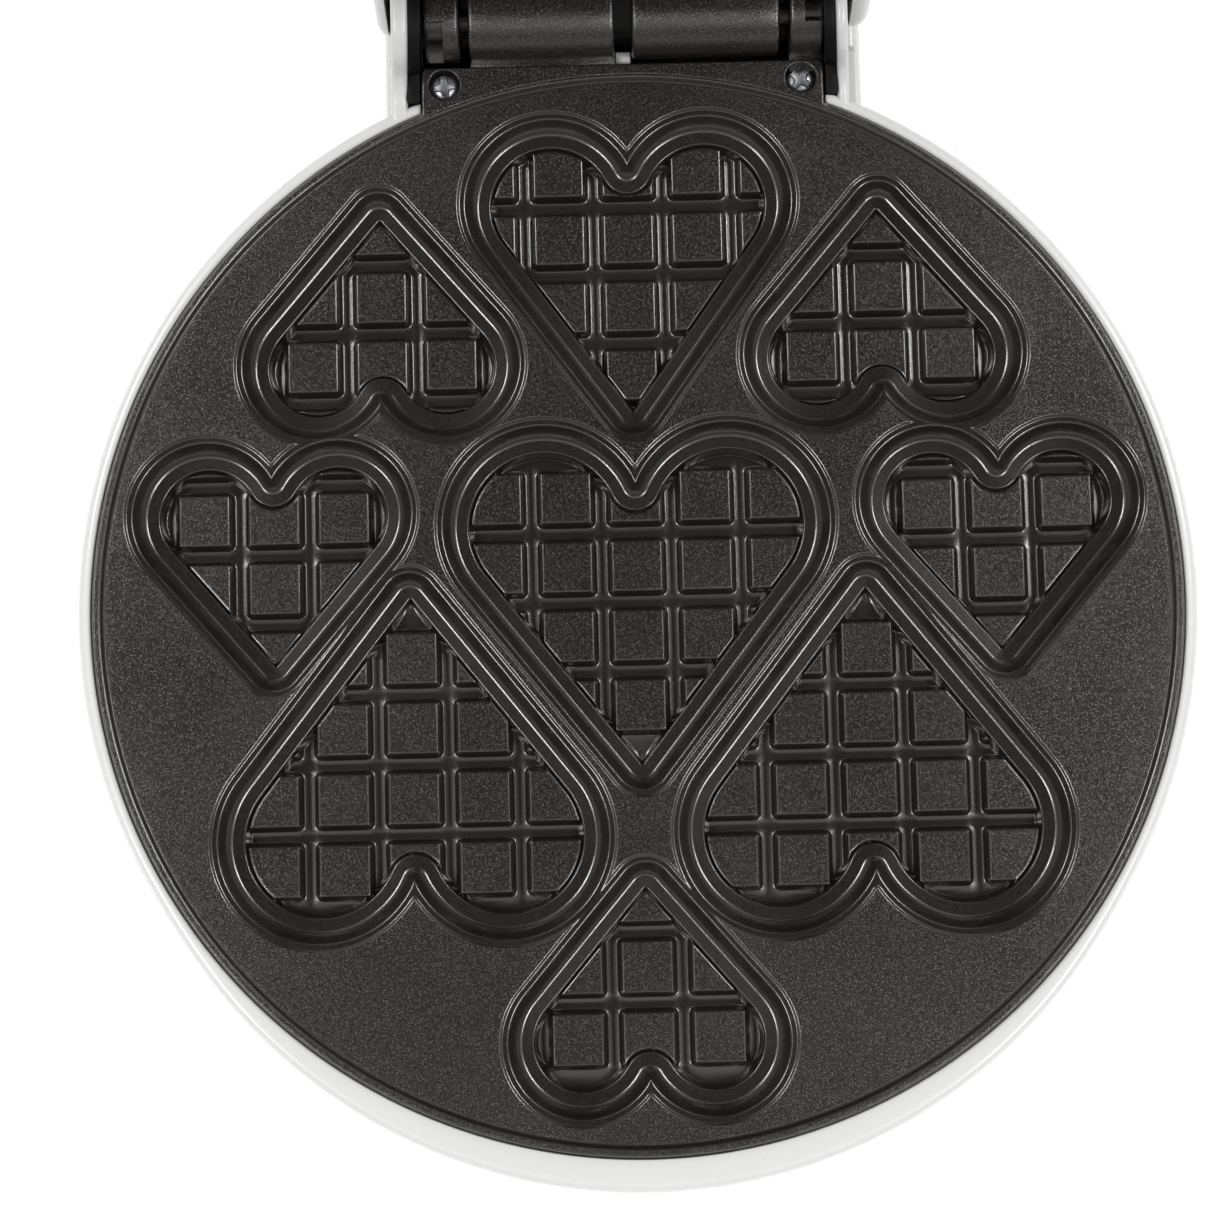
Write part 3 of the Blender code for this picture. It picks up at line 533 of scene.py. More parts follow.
def inset_outline(points, distance):
    """Closed outline moved inwards by distance, corners kept."""
    p = np.array(points)
    before, after = p - np.roll(p, 1, 0), np.roll(p, -1, 0) - p
    area = float(np.sum(p[:, 0] * np.roll(p[:, 1], -1) - np.roll(p[:, 0], -1) * p[:, 1]))
    normals = []
    for step in (before, after):
        step = step / np.linalg.norm(step, axis=1)[:, None]
        normals.append(np.column_stack([-step[:, 1], step[:, 0]]) * (1 if area > 0 else -1))
    middle = normals[0] + normals[1]
    middle /= 1.0 + np.sum(normals[0] * normals[1], axis=1)[:, None]
    return p + distance * middle


def rounded_slab(name, xs, outline, radius, steps=4, upright=True):
    """Plate with round edges; an upright outline is (y, z), a flat one (x, y)."""
    stations = [(radius * (1 - cos(a)), radius * (1 - sin(a))) for a in quarter(steps)]
    rings = [(xs[0] + into, out) for into, out in stations]
    rings += [(xs[1] - into, out) for into, out in reversed(stations)]
    return lofted(name, [[(at, a, b) if upright else (a, b, at)
                          for a, b in inset_outline(outline, out)] for at, out in rings])


def combine(target, tools, operation):
    for tool in tools:
        mod = target.modifiers.new("cut", "BOOLEAN")
        mod.operation, mod.solver, mod.object = operation, "EXACT", tool
        graph = bpy.context.evaluated_depsgraph_get()
        mesh = bpy.data.meshes.new_from_object(target.evaluated_get(graph))
        target.modifiers.clear()
        old, target.data = target.data, mesh
        bpy.data.meshes.remove(old)
        bpy.data.objects.remove(tool, do_unlink=True)


def cut(target, *tools):
    combine(target, tools, "DIFFERENCE")


def fuse(target, *tools):
    combine(target, tools, "UNION")


def settle(obj, name, matrix, body, look, stands_for, smooth_angle=38.0):
    """Places a finished piece, gives it its look and hangs it on its body."""
    obj.name = obj.data.name = name
    if matrix is not None:
        obj.data.transform(matrix)
    if smooth_angle is not None:
        obj.data.polygons.foreach_set("use_smooth", [True] * len(obj.data.polygons))
        obj.data.set_sharp_from_angle(angle=radians(smooth_angle))
    obj.data.materials.clear()
    obj.data.materials.append(LOOKS[look])
    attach(obj, body)
    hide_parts(*stands_for)


# ---- materials
LOOKS = {}


class Nodes:
    """Small helper that adds and links shader nodes; its material joins LOOKS."""

    def __init__(self, name):
        self.mat = LOOKS[name] = bpy.data.materials.new(name)
        self.mat.use_nodes = True
        self.tree = self.mat.node_tree
        self.shader = self.tree.nodes["Principled BSDF"]
        self.coords = self.add("ShaderNodeTexCoord").outputs["Object"]

    def add(self, kind, **settings):
        node = self.tree.nodes.new(kind)
        for key, value in settings.items():
            setattr(node, key, value)
        return node

    def link(self, out, into):
        self.tree.links.new(out, into)

    def preset(self, node, **values):
        for key, value in values.items():
            node.inputs[key.replace("_", " ")].default_value = value

    def noise(self, scale, detail=3.0, rough=0.5, vector=None):
        node = self.add("ShaderNodeTexNoise")
        self.link(vector or self.coords, node.inputs["Vector"])
        self.preset(node, Scale=scale, Detail=detail, Roughness=rough)
        return node.outputs["Fac"]

    def cells(self, scale):
        """Distance from the middles of scattered cells."""
        node = self.add("ShaderNodeTexVoronoi")
        self.link(self.coords, node.inputs["Vector"])
        self.preset(node, Scale=scale)
        return node.outputs["Distance"]

    def ramp(self, value, stops):
        node = self.add("ShaderNodeValToRGB")
        self.link(value, node.inputs["Fac"])
        elements = node.color_ramp.elements
        while len(elements) < len(stops):
            elements.new(0.5)
        for element, (at, colour) in zip(elements, stops):
            element.position, element.color = at, (*colour, 1.0)
        return node.outputs["Color"]

    def grey(self, value, low, high, a=0.0, b=1.0):
        """Maps value from low..high to a..b."""
        node = self.add("ShaderNodeMapRange")
        self.link(value, node.inputs["Value"])
        self.preset(node, From_Min=low, From_Max=high, To_Min=a, To_Max=b)
        return node.outputs["Result"]

    def feed(self, socket, value):
        """Sets a socket to a number or a colour, or links another node's output to it."""
        if isinstance(value, tuple):
            socket.default_value = (*value, 1.0)
        elif isinstance(value, float):
            socket.default_value = value
        else:
            self.link(value, socket)

    def times(self, a, b):
        node = self.add("ShaderNodeMath", operation="MULTIPLY")
        for socket, value in zip(node.inputs, (a, b)):
            self.feed(socket, value)
        return node.outputs["Value"]

    def mix(self, fac, a, b):
        node = self.add("ShaderNodeMix", data_type="RGBA")
        for key, value in (("Factor", fac), ("A", a), ("B", b)):
            self.feed(node.inputs[key], value)
        return node.outputs["Result"]

    def bump(self, height, strength, distance):
        node = self.add("ShaderNodeBump")
        self.preset(node, Strength=strength, Distance=distance)
        self.link(height, node.inputs["Height"])
        return node.outputs["Normal"]

    def finish(self, colour, rough, normal=None, **numbers):
        for key, value in (("Base Color", colour), ("Roughness", rough), ("Normal", normal)):
            if value is not None:
                self.feed(self.shader.inputs[key], value)
        self.preset(self.shader, **numbers)


def nonstick():
    """Cast plate under a dark brown-black coating with a fine sparkling speckle."""
    n = Nodes("nonstick")
    calm = n.add("ShaderNodeAttribute", attribute_name="calm").outputs["Fac"]
    grain = n.noise(3600.0, 2.0, 0.7)
    cloud = n.noise(28.0, 3.0, 0.5)
    base = n.ramp(grain, ((0.40, (0.0012, 0.0009, 0.0008)), (0.52, (0.0050, 0.0038, 0.0032)),
                          (0.67, (0.054, 0.0415, 0.0350))))
    plain = n.ramp(cloud, ((0.3, (0.0072, 0.0055, 0.0047)), (0.7, (0.0110, 0.0085, 0.0073))))
    colour = n.mix(n.times(calm, 0.6), base, plain)
    rough = n.grey(cloud, 0.3, 0.7, 0.19, 0.235)
    height = n.times(grain, n.grey(calm, 0.0, 1.0, 1.0, 0.25))
    normal = n.bump(height, 0.6, 0.00011)
    n.finish(colour, rough, normal, Specular_IOR_Level=1.0)


def white_plastic():
    """Gloss white moulding, faintly warm, with handling marks and dust."""
    n = Nodes("white_plastic")
    cloud = n.noise(22.0, 4.0, 0.55)
    colour = n.ramp(cloud, ((0.3, (0.533, 0.532, 0.527)), (0.7, (0.540, 0.539, 0.535))))
    specks = n.cells(420.0)
    rare = n.noise(60.0, 2.0)
    dirt = n.times(n.grey(specks, 0.07, 0.03), n.grey(rare, 0.60, 0.66))
    colour = n.mix(n.times(dirt, 0.5), colour, (0.30, 0.22, 0.14))
    rough = n.grey(n.noise(40.0, 3.0, 0.5), 0.3, 0.7, 0.26, 0.29)
    normal = n.bump(n.noise(900.0, 2.0), 0.02, 0.00006)
    n.finish(colour, rough, normal, Specular_IOR_Level=0.5, Coat_Weight=0.15,
             Coat_Roughness=0.12)


def black_plastic(name, dark, light, worn, shine):
    """Satin black moulding with a fine spark-eroded grain and paler edges."""
    n = Nodes(name)
    grain = n.noise(1400.0, 3.0, 0.6)
    cloud = n.noise(45.0, 3.0)
    colour = n.ramp(cloud, ((0.3, (dark,) * 3), (0.75, (light,) * 3)))
    edges = n.grey(n.add("ShaderNodeNewGeometry").outputs["Pointiness"], 0.53, 0.62)
    colour = n.mix(n.times(edges, 0.35), colour, (worn,) * 3)
    rough = n.grey(n.noise(120.0, 4.0, 0.6), 0.3, 0.7, 0.40, 0.56)
    n.finish(colour, rough, n.bump(grain, 0.18, 0.00008), Specular_IOR_Level=shine)


def steel(name, colour, dark, low, high):
    """Plated steel with fine scratches and dull patches."""
    n = Nodes(name)
    cloud = n.noise(350.0, 4.0, 0.6)
    tint = n.ramp(cloud, ((0.35, dark), (0.65, colour)))
    stretch = n.add("ShaderNodeMapping")
    n.preset(stretch, Scale=(1.0, 0.06, 1.0))
    n.link(n.coords, stretch.inputs["Vector"])
    lines = n.noise(2600.0, 2.0, vector=stretch.outputs["Vector"])
    rough = n.grey(cloud, 0.3, 0.7, high, low)
    n.finish(tint, rough, n.bump(lines, 0.12, 0.00006), Metallic=1.0)


def mottled(name, cloud, dark, light, gloss, depth, grain=None, **numbers):
    """Soft patches of colour and roughness over a fine relief."""
    n = Nodes(name)
    patches = n.noise(*cloud)
    colour = n.ramp(patches, ((0.3, dark), (0.7, light)))
    relief = n.noise(*grain) if grain else patches
    n.finish(colour, n.grey(patches, 0.3, 0.7, *gloss), n.bump(relief, *depth), **numbers)


def lens(name, deep, light):
    """Translucent coloured cap over a neon lamp."""
    mottled(name, (500.0, 3.0), deep, light, (0.10, 0.2), (0.08, 0.0001),
            Subsurface_Weight=0.25, Coat_Weight=0.5, Coat_Roughness=0.06)


def wire(name, dark, light):
    mottled(name, (220.0, 4.0, 0.6), dark, light, (0.45, 0.62), (0.12, 0.0001),
            (1200.0, 2.0))


def floor_paint():
    n = Nodes("floor")
    cloud = n.noise(3.0, 3.0)
    n.finish(n.ramp(cloud, ((0.3, (0.96, 0.96, 0.96)), (0.7, (0.98, 0.98, 0.98)))), 0.6)


nonstick()
white_plastic()
black_plastic("black_plastic", 0.010, 0.021, 0.06, 0.5)
# near-black lining, darker than any plastic here: painted shade for the deep gaps in the hinge
black_plastic("shade_black_lining", 0.0022, 0.0045, 0.012, 0.12)
steel("steel", (0.66, 0.655, 0.63), (0.42, 0.41, 0.39), 0.24, 0.42)
steel("screw", (0.55, 0.56, 0.585), (0.24, 0.245, 0.26), 0.30, 0.46)
# darkened copy of the steel for the hinge pins: painted shade that dulls their glint in the shaded gaps
steel("shaded_steel", (0.10, 0.10, 0.105), (0.05, 0.05, 0.053), 0.40, 0.55)
steel("aluminium", (0.78, 0.78, 0.76), (0.62, 0.62, 0.60), 0.28, 0.45)
steel("element", (0.20, 0.185, 0.17), (0.09, 0.08, 0.075), 0.4, 0.62)
mottled("rubber", (140.0, 4.0, 0.6), (0.014, 0.014, 0.014), (0.034, 0.033, 0.032),
        (0.72, 0.88), (0.3, 0.0001), (1500.0, 3.0, 0.6))
mottled("ceramic", (160.0, 4.0, 0.6), (0.62, 0.58, 0.50), (0.78, 0.75, 0.68),
        (0.5, 0.7), (0.12, 0.0002))
mottled("clear_glass", (600.0, 3.0), (0.74, 0.66, 0.60), (0.84, 0.78, 0.74),
        (0.04, 0.12), (0.05, 0.0001))
lens("red_lens", (0.42, 0.02, 0.012), (0.62, 0.05, 0.03))
lens("green_lens", (0.03, 0.28, 0.07), (0.08, 0.42, 0.13))
wire("wire_brown", (0.16, 0.07, 0.03), (0.24, 0.11, 0.05))
wire("wire_blue", (0.03, 0.08, 0.30), (0.06, 0.14, 0.44))
floor_paint()


# ---- plates
CASTINGS = (("lower", BASE, "base"), ("upper", UPPER, "lid"))
WEBS = ((-30.95, -2.0), (33.2, 40.1))
WEB_SIDE = ((107.0, 35.9), (118.0, 35.9), (118.4, 42.9), (112.0, 42.9),
            (110.2, FIELD_Z + 0.45), (108.6, FIELD_Z + 0.65), (107.0, FIELD_Z + 0.65))


def build_plates():
    """Both castings, each with the webs that carry its hinge barrels."""
    points, faces, normals, calm = plate_points()
    for tag, matrix, body in CASTINGS:
        casting = make_object(tag + "_casting", points, faces, matrix, normals)
        casting.data.attributes.new("calm", "FLOAT", "POINT").data.foreach_set("value", calm)
        settle(casting, tag + "_casting", None, body, "nonstick", (tag + "_plate",), None)
        for i, xs in enumerate(WEBS, 1):
            settle(slab("web", xs, WEB_SIDE, 0.3, 2), "%s_hinge_web_%d" % (tag, i), matrix, body,
                   "nonstick", (tag + "_plate",))


def barrel_stations(xs, middle):
    """Places along a barrel and their radii, both ends rounded."""
    ends = [(KNUCKLE_EDGE * (1 - cos(a)), KNUCKLE_R - KNUCKLE_EDGE * (1 - sin(a)))
            for a in quarter(5)]
    return ([(xs[0] + into, r) for into, r in ends] + [(x, KNUCKLE_R) for x in middle]
            + [(xs[1] - into, r) for into, r in reversed(ends)])


def barrel(name, xs, body, node, pocket=None):
    """Hinge barrel with rounded ends; pocket is an x range and an angle range."""
    middle = list(np.linspace(xs[0] + KNUCKLE_EDGE, xs[1] - KNUCKLE_EDGE, 8)[1:-1])
    angles = list(np.arange(0.0, 360.0, ARC_STEP))
    if pocket:
        (x0, x1), (a0, a1) = pocket
        middle = [x0 - 0.12, x0, x0 + 0.18, x1 - 0.18, x1, x1 + 0.12]
        angles = [a for a in angles if min(abs(a - a0), abs(a - a1)) > 2.5]
        angles = sorted(angles + [a0 - 1.2, a0, a0 + 1.4, a1 - 1.4, a1, a1 + 1.2])
    rings = []
    for x, radius in barrel_stations(xs, middle):
        ring = []
        for deg in angles:
            r = radius
            if pocket and x0 < x < x1 and a0 < deg < a1:
                r = KNUCKLE_R - POCKET_DEEP
            elif pocket and x0 <= x <= x1 and a0 <= deg <= a1:
                r = KNUCKLE_R - POCKET_CHAMFER
            a = radians(deg)
            ring.append((x, AXIS_Y + r * cos(a), AXIS_Z + r * sin(a)))
        rings.append(ring)
    settle(lofted(name, rings), name, BASE, body, "nonstick", (node,), 42.0)


def build_barrels():
    barrel("lower_barrel_inner", (-31.1, -2.0), "base", "lower_plate")
    barrel("lower_barrel_outer", (33.0, 40.0), "base", "lower_plate", ((36.1, 39.3), (48, 117)))
    barrel("upper_barrel_inner", (1.5, 31.0), "lid", "upper_plate")
    barrel("upper_barrel_outer", (-40.1, -32.9), "lid", "upper_plate", ((-39.5, -36.3), (108, 186)))


HEAD_R = 2.72
SCREW_LOOPS = (HEAD_R, HEAD_R - 0.08, HEAD_R - 0.25, 2.1, 1.4)
ARM_LONG, ARM_WIDE, ARM_TAPER = 2.0, 0.8, 0.2
BURR_HIGH, BURR_OUT = 0.16, 0.14


def cross_inset(x, y):
    """Signed distance in from a cross recess with tapering arms."""
    ax, ay = np.abs(x), np.abs(y)
    long, wide = np.maximum(ax, ay), np.minimum(ax, ay)
    return np.minimum(ARM_LONG - long, ARM_WIDE - ARM_TAPER * long - wide)


def screw_height(x, y):
    r = np.hypot(x, y)
    dome = along(((0, 0.95), (1.4, 0.82), (2.1, 0.55), (HEAD_R - 0.25, 0.28), (HEAD_R - 0.08, 0.05),
                  (HEAD_R, -0.2)), r)
    depth = along(((0, 1.6), (0.9, 1.2), (2.2, 0.5)), r)
    inset = cross_inset(x, y)
    burr = BURR_HIGH * np.clip(1.0 - np.abs(inset + BURR_OUT) / BURR_OUT, 0, 1)
    return dome + burr - depth * np.clip(inset / 0.12, 0, 1)


def cross_loop(inset):
    pts = []
    for k in range(4):
        a = radians(90 * k)
        inner = (ARM_WIDE - inset) / (1 + ARM_TAPER)
        reach = ARM_LONG - inset
        tip_w = ARM_WIDE - inset - ARM_TAPER * reach
        for x, y in ((inner, -inner), (reach, -tip_w), (reach, tip_w)):
            pts.append((x * cos(a) - y * sin(a), x * sin(a) + y * cos(a)))
    return pts


def screw(name, spot, turn, matrix, body, node):
    """Pan head with a cross recess, its shank hidden in the plate."""
    lines = [(circle_loop(r, step=10), True) for r in SCREW_LOOPS]
    lines += [(cross_loop(inset), True) for inset in (-2 * BURR_OUT, -BURR_OUT, 0.0, 0.12)]
    top, faces, origin = triangulate(lines)
    count = len(lines[0][0])
    faces = faces.tolist()
    x, y = top[:, 0], top[:, 1]
    c, s = cos(radians(turn)), sin(radians(turn))
    points = [np.column_stack([x * c - y * s, x * s + y * c, screw_height(x, y)])]
    last, total = first_line(origin, count), len(top)
    for r, z in ((HEAD_R, -0.75), (1.7, -0.8), (1.6, -9.0)):
        a = np.radians(np.arange(0, 360, 10)) + radians(turn)
        points.append(np.column_stack([r * np.cos(a), r * np.sin(a), np.full(count, z)]))
        ring = list(range(total, total + count))
        faces += [f[::-1] for f in strip(last, ring)]
        last, total = ring, total + count
    faces.append(last[::-1])
    points = np.vstack(points) + np.array([spot[0], spot[1], FIELD_Z - 0.95])
    obj = make_object(name, points, faces, Matrix.Identity(4))
    settle(obj, name, matrix, body, "screw", (node,), 32.0)


def build_screws():
    for tag, matrix, body in CASTINGS:
        for spot, end, turn in zip(TAB_SCREWS, ("left", "right"), (8.0, -38.0)):
            screw("%s_tab_screw_%s" % (tag, end), spot, turn, matrix, body,
                  "%s_plate_screw_%s" % (tag, end))


# ---- housings
RING_SIDES = 216
REACH = 3.86
BULGE_BACK = 8.1
# inner face, outer face and fairing of each hinge arm; the arms lean in as they rise
ARMS = (("left", -1, 43.9, 47.2, 47.9), ("right", 1, 42.9, 45.2, 47.4))
ARM_DRAFT = 0.085
# edges of the near-black hinge linings, sheets that paint the shade deep in the gaps beside the barrels
SHADE_LINER_LEFT, SHADE_LINER_RIGHT, SHADE_LINER_FRONT = -41.35, 40.45, 102.5
EAR_R = 11.5
ARM_FILLET, RIM_Z = 8.0, 41.6
CHEEK_OUT, LID_REAR, LID_BLOCK_TOP, LID_CORNER_R, LID_EDGE_R = 50.0, 133.1, 76.5, 12.5, 3.0
# height, radius, forward reach of the front bulge
BASE_SKIN = (
    (4.5, 98.6, 0.5), (4.75, 99.6, 0.6), (5.4, 100.8, 0.8), (8.0, 103.3, 1.6),
    (12.0, 105.1, 2.3), (16.0, 106.7, 2.9), (20.0, 108.0, 3.3), (24.5, 109.3, 3.6),
    (29.0, 110.4, 3.85), (33.0, 111.1, REACH), (36.0, 111.42, REACH), (38.5, 111.4, REACH),
    (39.8, 111.15, REACH), (40.6, 110.85, REACH), (41.1, 110.5, REACH), (41.4, 110.1, REACH),
    (41.55, 109.7, REACH), (41.6, 109.2, REACH), (41.55, 108.85, 0.0), (41.4, 108.6, 0.0),
    (41.1, 108.5, 0.0), (34.9, 108.5, 0.0), (34.4, 108.4, 0.0), (32.0, 108.2, 3.5),
    (20.0, 105.4, 3.0), (9.2, 101.2, 1.2), (9.0, 100.6, 1.0), (9.0, 68.0, 0.0),
    (6.6, 68.0, 0.0), (6.5, 68.2, 0.0), (6.5, 95.9, 0.0), (6.3, 96.0, 0.0), (4.5, 96.4, 0.0))
LID_SKIN = (
    (45.3, 108.7, 0.0), (45.25, 109.2, REACH), (45.3, 109.8, REACH), (45.6, 110.3, REACH),
    (46.3, 110.8, REACH), (47.5, 111.25, REACH), (49.5, 111.45, REACH), (52.0, 111.35, REACH),
    (55.0, 111.0, 3.84), (58.5, 110.3, 3.8), (62.0, 109.3, 3.6), (65.5, 107.7, 3.3),
    (69.0, 105.3, 2.9), (72.0, 102.6, 2.4), (74.6, 99.2, 1.9), (76.8, 95.3, 1.5),
    (78.5, 91.0, 1.2), (79.75, 86.0, 0.8), (80.55, 81.5, 0.5))
LID_TOP = (
    (81.2, 76.0, 0.3), (81.5, 72.6, 0.2), (81.5, 72.2, 0.2), (81.2, 71.9, 0.2), (81.2, 71.3, 0.2),
    (81.6, 71.0, 0.2), (81.7, 70.0, 0.2), (82.05, 64.0, 0.1), (82.3, 56.0, 0.0),
    (82.42, 46.0, 0.0), (82.48, 34.0, 0.0), (82.5, 20.0, 0.0), (82.5, 8.0, 0.0))
LID_INSIDE = (
    (40.0, 108.5, 0.0), (52.5, 108.5, 0.0), (55.0, 108.2, 3.6), (63.5, 105.9, 3.0),
    (70.8, 100.4, 2.0), (76.2, 92.0, 1.0), (79.1, 78.6, 0.3), (80.1, 59.0, 0.1))


def reach_at(angle, radius, reach):
    """Distance from the middle to a round outline with a front bulge."""
    if reach <= 0.0:
        return radius
    r = radius + reach - BULGE_BACK
    b = -BULGE_BACK * sin(angle)
    root = b * b - BULGE_BACK ** 2 + r * r
    bulge = b + sqrt(root) if root > 0 else 0.0
    blend = 0.9
    h = max(0.0, min(1.0, 0.5 + 0.5 * (bulge - radius) / blend))
    return radius * (1 - h) + bulge * h + blend * h * (1 - h) * 0.5


def skin_rings(levels, grow=0.0, sides=RING_SIDES):
    rings = []
    for z, radius, reach in levels:
        ring = []
        for i in range(sides):
            a = 2 * pi * i / sides
            d = reach_at(a, radius + grow, reach)
            ring.append((d * cos(a), d * sin(a), z))
        rings.append(ring)
    return rings


def ear_points():
    """Hinge arm from the side: a round ear sweeping down into the rim."""
    rise = RIM_Z + ARM_FILLET - AXIS_Z
    turn = degrees(asin(rise / (EAR_R + ARM_FILLET)))
    ahead = (EAR_R + ARM_FILLET) * cos(radians(turn))
    pts = [(95.0, 30.0), (126.0, 24.0)]
    pts += arc_points(AXIS_Y, AXIS_Z, EAR_R, degrees(asin(-10.1 / EAR_R)), 180.0 - turn, 5)
    pts += arc_points(AXIS_Y - ahead, RIM_Z + ARM_FILLET, ARM_FILLET, -turn, -90.0, 6)[1:]
    return pts + [(95.0, RIM_Z)]


def lean(piece, side):
    """Draft: everything above the rim leans towards the middle."""
    for v in piece.data.vertices:
        v.co.x -= side * ARM_DRAFT * max(v.co.z - RIM_Z, 0.0)


def fairing_points():
    """Low fairing outside a hinge arm, its back corner rounded."""
    back, corner = 114.5, 7.0
    start = 36.0 - corner * 0.4
    pts = [(back, 22.0), (back, start)]
    pts += arc_points(back - corner, start, corner, 0, 50, 10)[1:]
    return pts + [(97.0, 38.0), (97.0, 22.0)]


def shade_liner_points():
    """Near-black lining inside each hinge arm, painted shade for the deep gap beside the barrels."""
    pts = [(109.4, 25.4), (113.0, 25.4), (113.2, AXIS_Z - 9.6)]
    pts += arc_points(AXIS_Y, AXIS_Z, 10.8, -60.0, 180.0, 6)
    return pts + [(SHADE_LINER_FRONT, AXIS_Z - 0.8), (SHADE_LINER_FRONT, 35.4), (109.4, 35.4)]


BASE_WHITE = (BASE, "base", "white_plastic", ("base_housing",))


def build_base_housing():
    """Round shell with its latch window, and the block behind it."""
    ring = lofted("base_ring", skin_rings(BASE_SKIN), True)
    cut(ring, block("gap", (SHADE_LINER_LEFT, SHADE_LINER_RIGHT), (90, 125), (34.4, 60)),
        block("shade_liner_gap", (-ARMS[0][2], ARMS[1][2]), (SHADE_LINER_FRONT - 0.2, 125), (34.4, 60)),
        block("window", (-14, 14), (-122, -104), (24.6, 31.6), 0.8, 2))
    settle(ring, "base_shell", *BASE_WHITE)
    rear = block("rear", (-49.5, 49.5), (86, 131), (4.6, 24.6), 2.4, 5)
    cut(rear, spin("inlet", INLET, "y", ((118, 4.6), (133, 4.6)), 32))
    settle(rear, "base_rear_block", *BASE_WHITE)
    build_arms()
    # near-black tray under the barrels: painted shade for the hinge cavity seen through the gaps
    well = slab("well", (SHADE_LINER_LEFT + 0.1, SHADE_LINER_RIGHT - 0.1),
                [(110.0, 24.7), (119.6, 24.7), (119.6, 28.5), (116.5, 31.5), (110.0, 31.5)], 0.6)
    settle(well, "hinge_shade_well", BASE, "base", "shade_black_lining", ("base_housing",))
    settle(block("rib", (-1.8, 1.3), (109.7, 112.5), (30.0, 40.5), 0.4, 3), "hinge_rib",
           *BASE_WHITE)


def build_arms():
    """Hinge arms, the fairings outside them and the near-black linings inside, which paint the shade of the gaps.
    """
    for end, side, inner, outer, fairing_out in ARMS:
        arm = rounded_slab("arm", sorted((side * inner, side * outer)), ear_points(), 0.95)
        lean(arm, side)
        cut(arm, spin("clear", (0, 0), "z", ((20.0, 108.7), (60.0, 108.7)), RING_SIDES))
        settle(arm, "hinge_arm_" + end, *BASE_WHITE)
        settle(rounded_slab("fairing", sorted((side * (inner + 1), side * fairing_out)),
                            fairing_points(), 0.6), "arm_fairing_" + end, *BASE_WHITE)
        # near-black lining between arm and barrel: painted shade for the deep gap
        edge = SHADE_LINER_LEFT if side < 0 else SHADE_LINER_RIGHT
        shade_liner = rounded_slab("shade_liner", sorted((edge, side * (inner - 0.05))), shade_liner_points(),
                             0.35, 3)
        lean(shade_liner, side)
        settle(shade_liner, "hinge_shade_lining_" + end, BASE, "base", "shade_black_lining",
               ("hinge_liner_" + end,))


def lid_rear_points():
    """Side view of the lid's hinge block, its lower back corner well rounded."""
    low, small = AXIS_Z + 0.3, LID_EDGE_R + 0.2
    pts = [(60.0, LID_BLOCK_TOP), (60.0, low)]
    pts += arc_points(LID_REAR - LID_CORNER_R, low + LID_CORNER_R, LID_CORNER_R, -90, 0, 7.5)
    return pts + arc_points(LID_REAR - small, LID_BLOCK_TOP - small, small, 0, 90, 15)


def build_lid_housing():
    """Dome with a shallow ring groove, hollow, one piece with its hinge block."""
    shell = lofted("lid_shell", skin_rings(LID_SKIN + LID_TOP))
    rear = rounded_slab("lid_rear", (-CHEEK_OUT, CHEEK_OUT), lid_rear_points(), LID_EDGE_R, 6)
    fuse(shell, rear)
    cut(shell, lofted("hollow", skin_rings(LID_INSIDE, sides=96)),
        block("rear_hollow", (-47.7, 46.0), (58, 130.8), (40, 74.0), 1.2, 3),
        block("rim_gap", (-60, 60), (55, 98.6), (40, 45.3)))
    for side in (-1, 1):
        cut(shell, spin("lens_way", (side * LENS_X, LENS_Y), "z", ((70, 3.7), (84, 3.7)), 32))
    settle(shell, "lid_shell", LID, "lid", "white_plastic", ("lid_housing",))


# ---- handle, latch and trim
def grip_outline(half_back, half_front, front, back, corner):
    """Plan of the handle, its two front corners rounded."""
    pts = arc_points(-half_front + corner, front + corner, corner, 180, 270, 7.5)
    pts += arc_points(half_front - corner, front + corner, corner, 270, 360, 7.5)
    return pts + [(half_back, back), (-half_back, back)]


def build_grip():
    """Hollow-edged handle with a raised pad, cut to the lid's curve."""
    outline = grip_outline(33.0, 31.5, -152.9, -104.0, 11.0)
    rings = [(54.5 + 2.0 * (1 - cos(a)), 2.0 * (1 - sin(a))) for a in quarter(5)]
    rings += [(62.0 + 3.7 * sin(a), 3.7 * (1 - cos(a))) for a in quarter(6)]
    rings += [(66.0, 5.6), (66.05, 6.1), (65.75, 6.5), (65.65, 6.9), (65.7, 8.0), (65.9, 10.4)]
    grip = lofted("grip", [[(x, y, z) for x, y in inset_outline(outline, out)]
                           for z, out in rings])
    cut(grip, lofted("seat", skin_rings(LID_SKIN, 0.3, 144)))
    settle(grip, "grip_shell", LID, "lid", "black_plastic", ("handle_grip",))


def build_grip_underside():
    """Closing plate under the handle, its two lugs and the latch's axle."""
    outline = grip_outline(30.0, 29.0, -149.9, -131.3, 9.5)
    under = rounded_slab("under", (46.8, 54.2), outline, 1.6, 4, upright=False)
    lug = [(-134.0, 54.1), (-134.0, 50.0)]
    lug += arc_points(LATCH_Y, LATCH_Z, 3.5, 180, 360, 12)
    lug += [(LATCH_Y + 3.5, 54.1)]
    for x in (-14.9, 14.9):
        fuse(under, rounded_slab("lug", (x - 2.1, x + 2.1), lug, 0.4, 2))
    bore = ((-20, LATCH_BORE_R), (20, LATCH_BORE_R))
    cut(under, spin("bore", (LATCH_Y, LATCH_Z), "x", bore, 32))
    settle(under, "grip_underside", LID, "lid", "white_plastic", ("handle_underside",))
    pin = ((-16.8, 1.1), (-16.6, 1.4), (-16.3, 1.5), (16.3, 1.5), (16.6, 1.4), (16.8, 1.1))
    settle(spin("pin", (LATCH_Y, LATCH_Z), "x", pin, 32), "latch_axle", LID, "lid", "steel",
           ("latch_pin",))


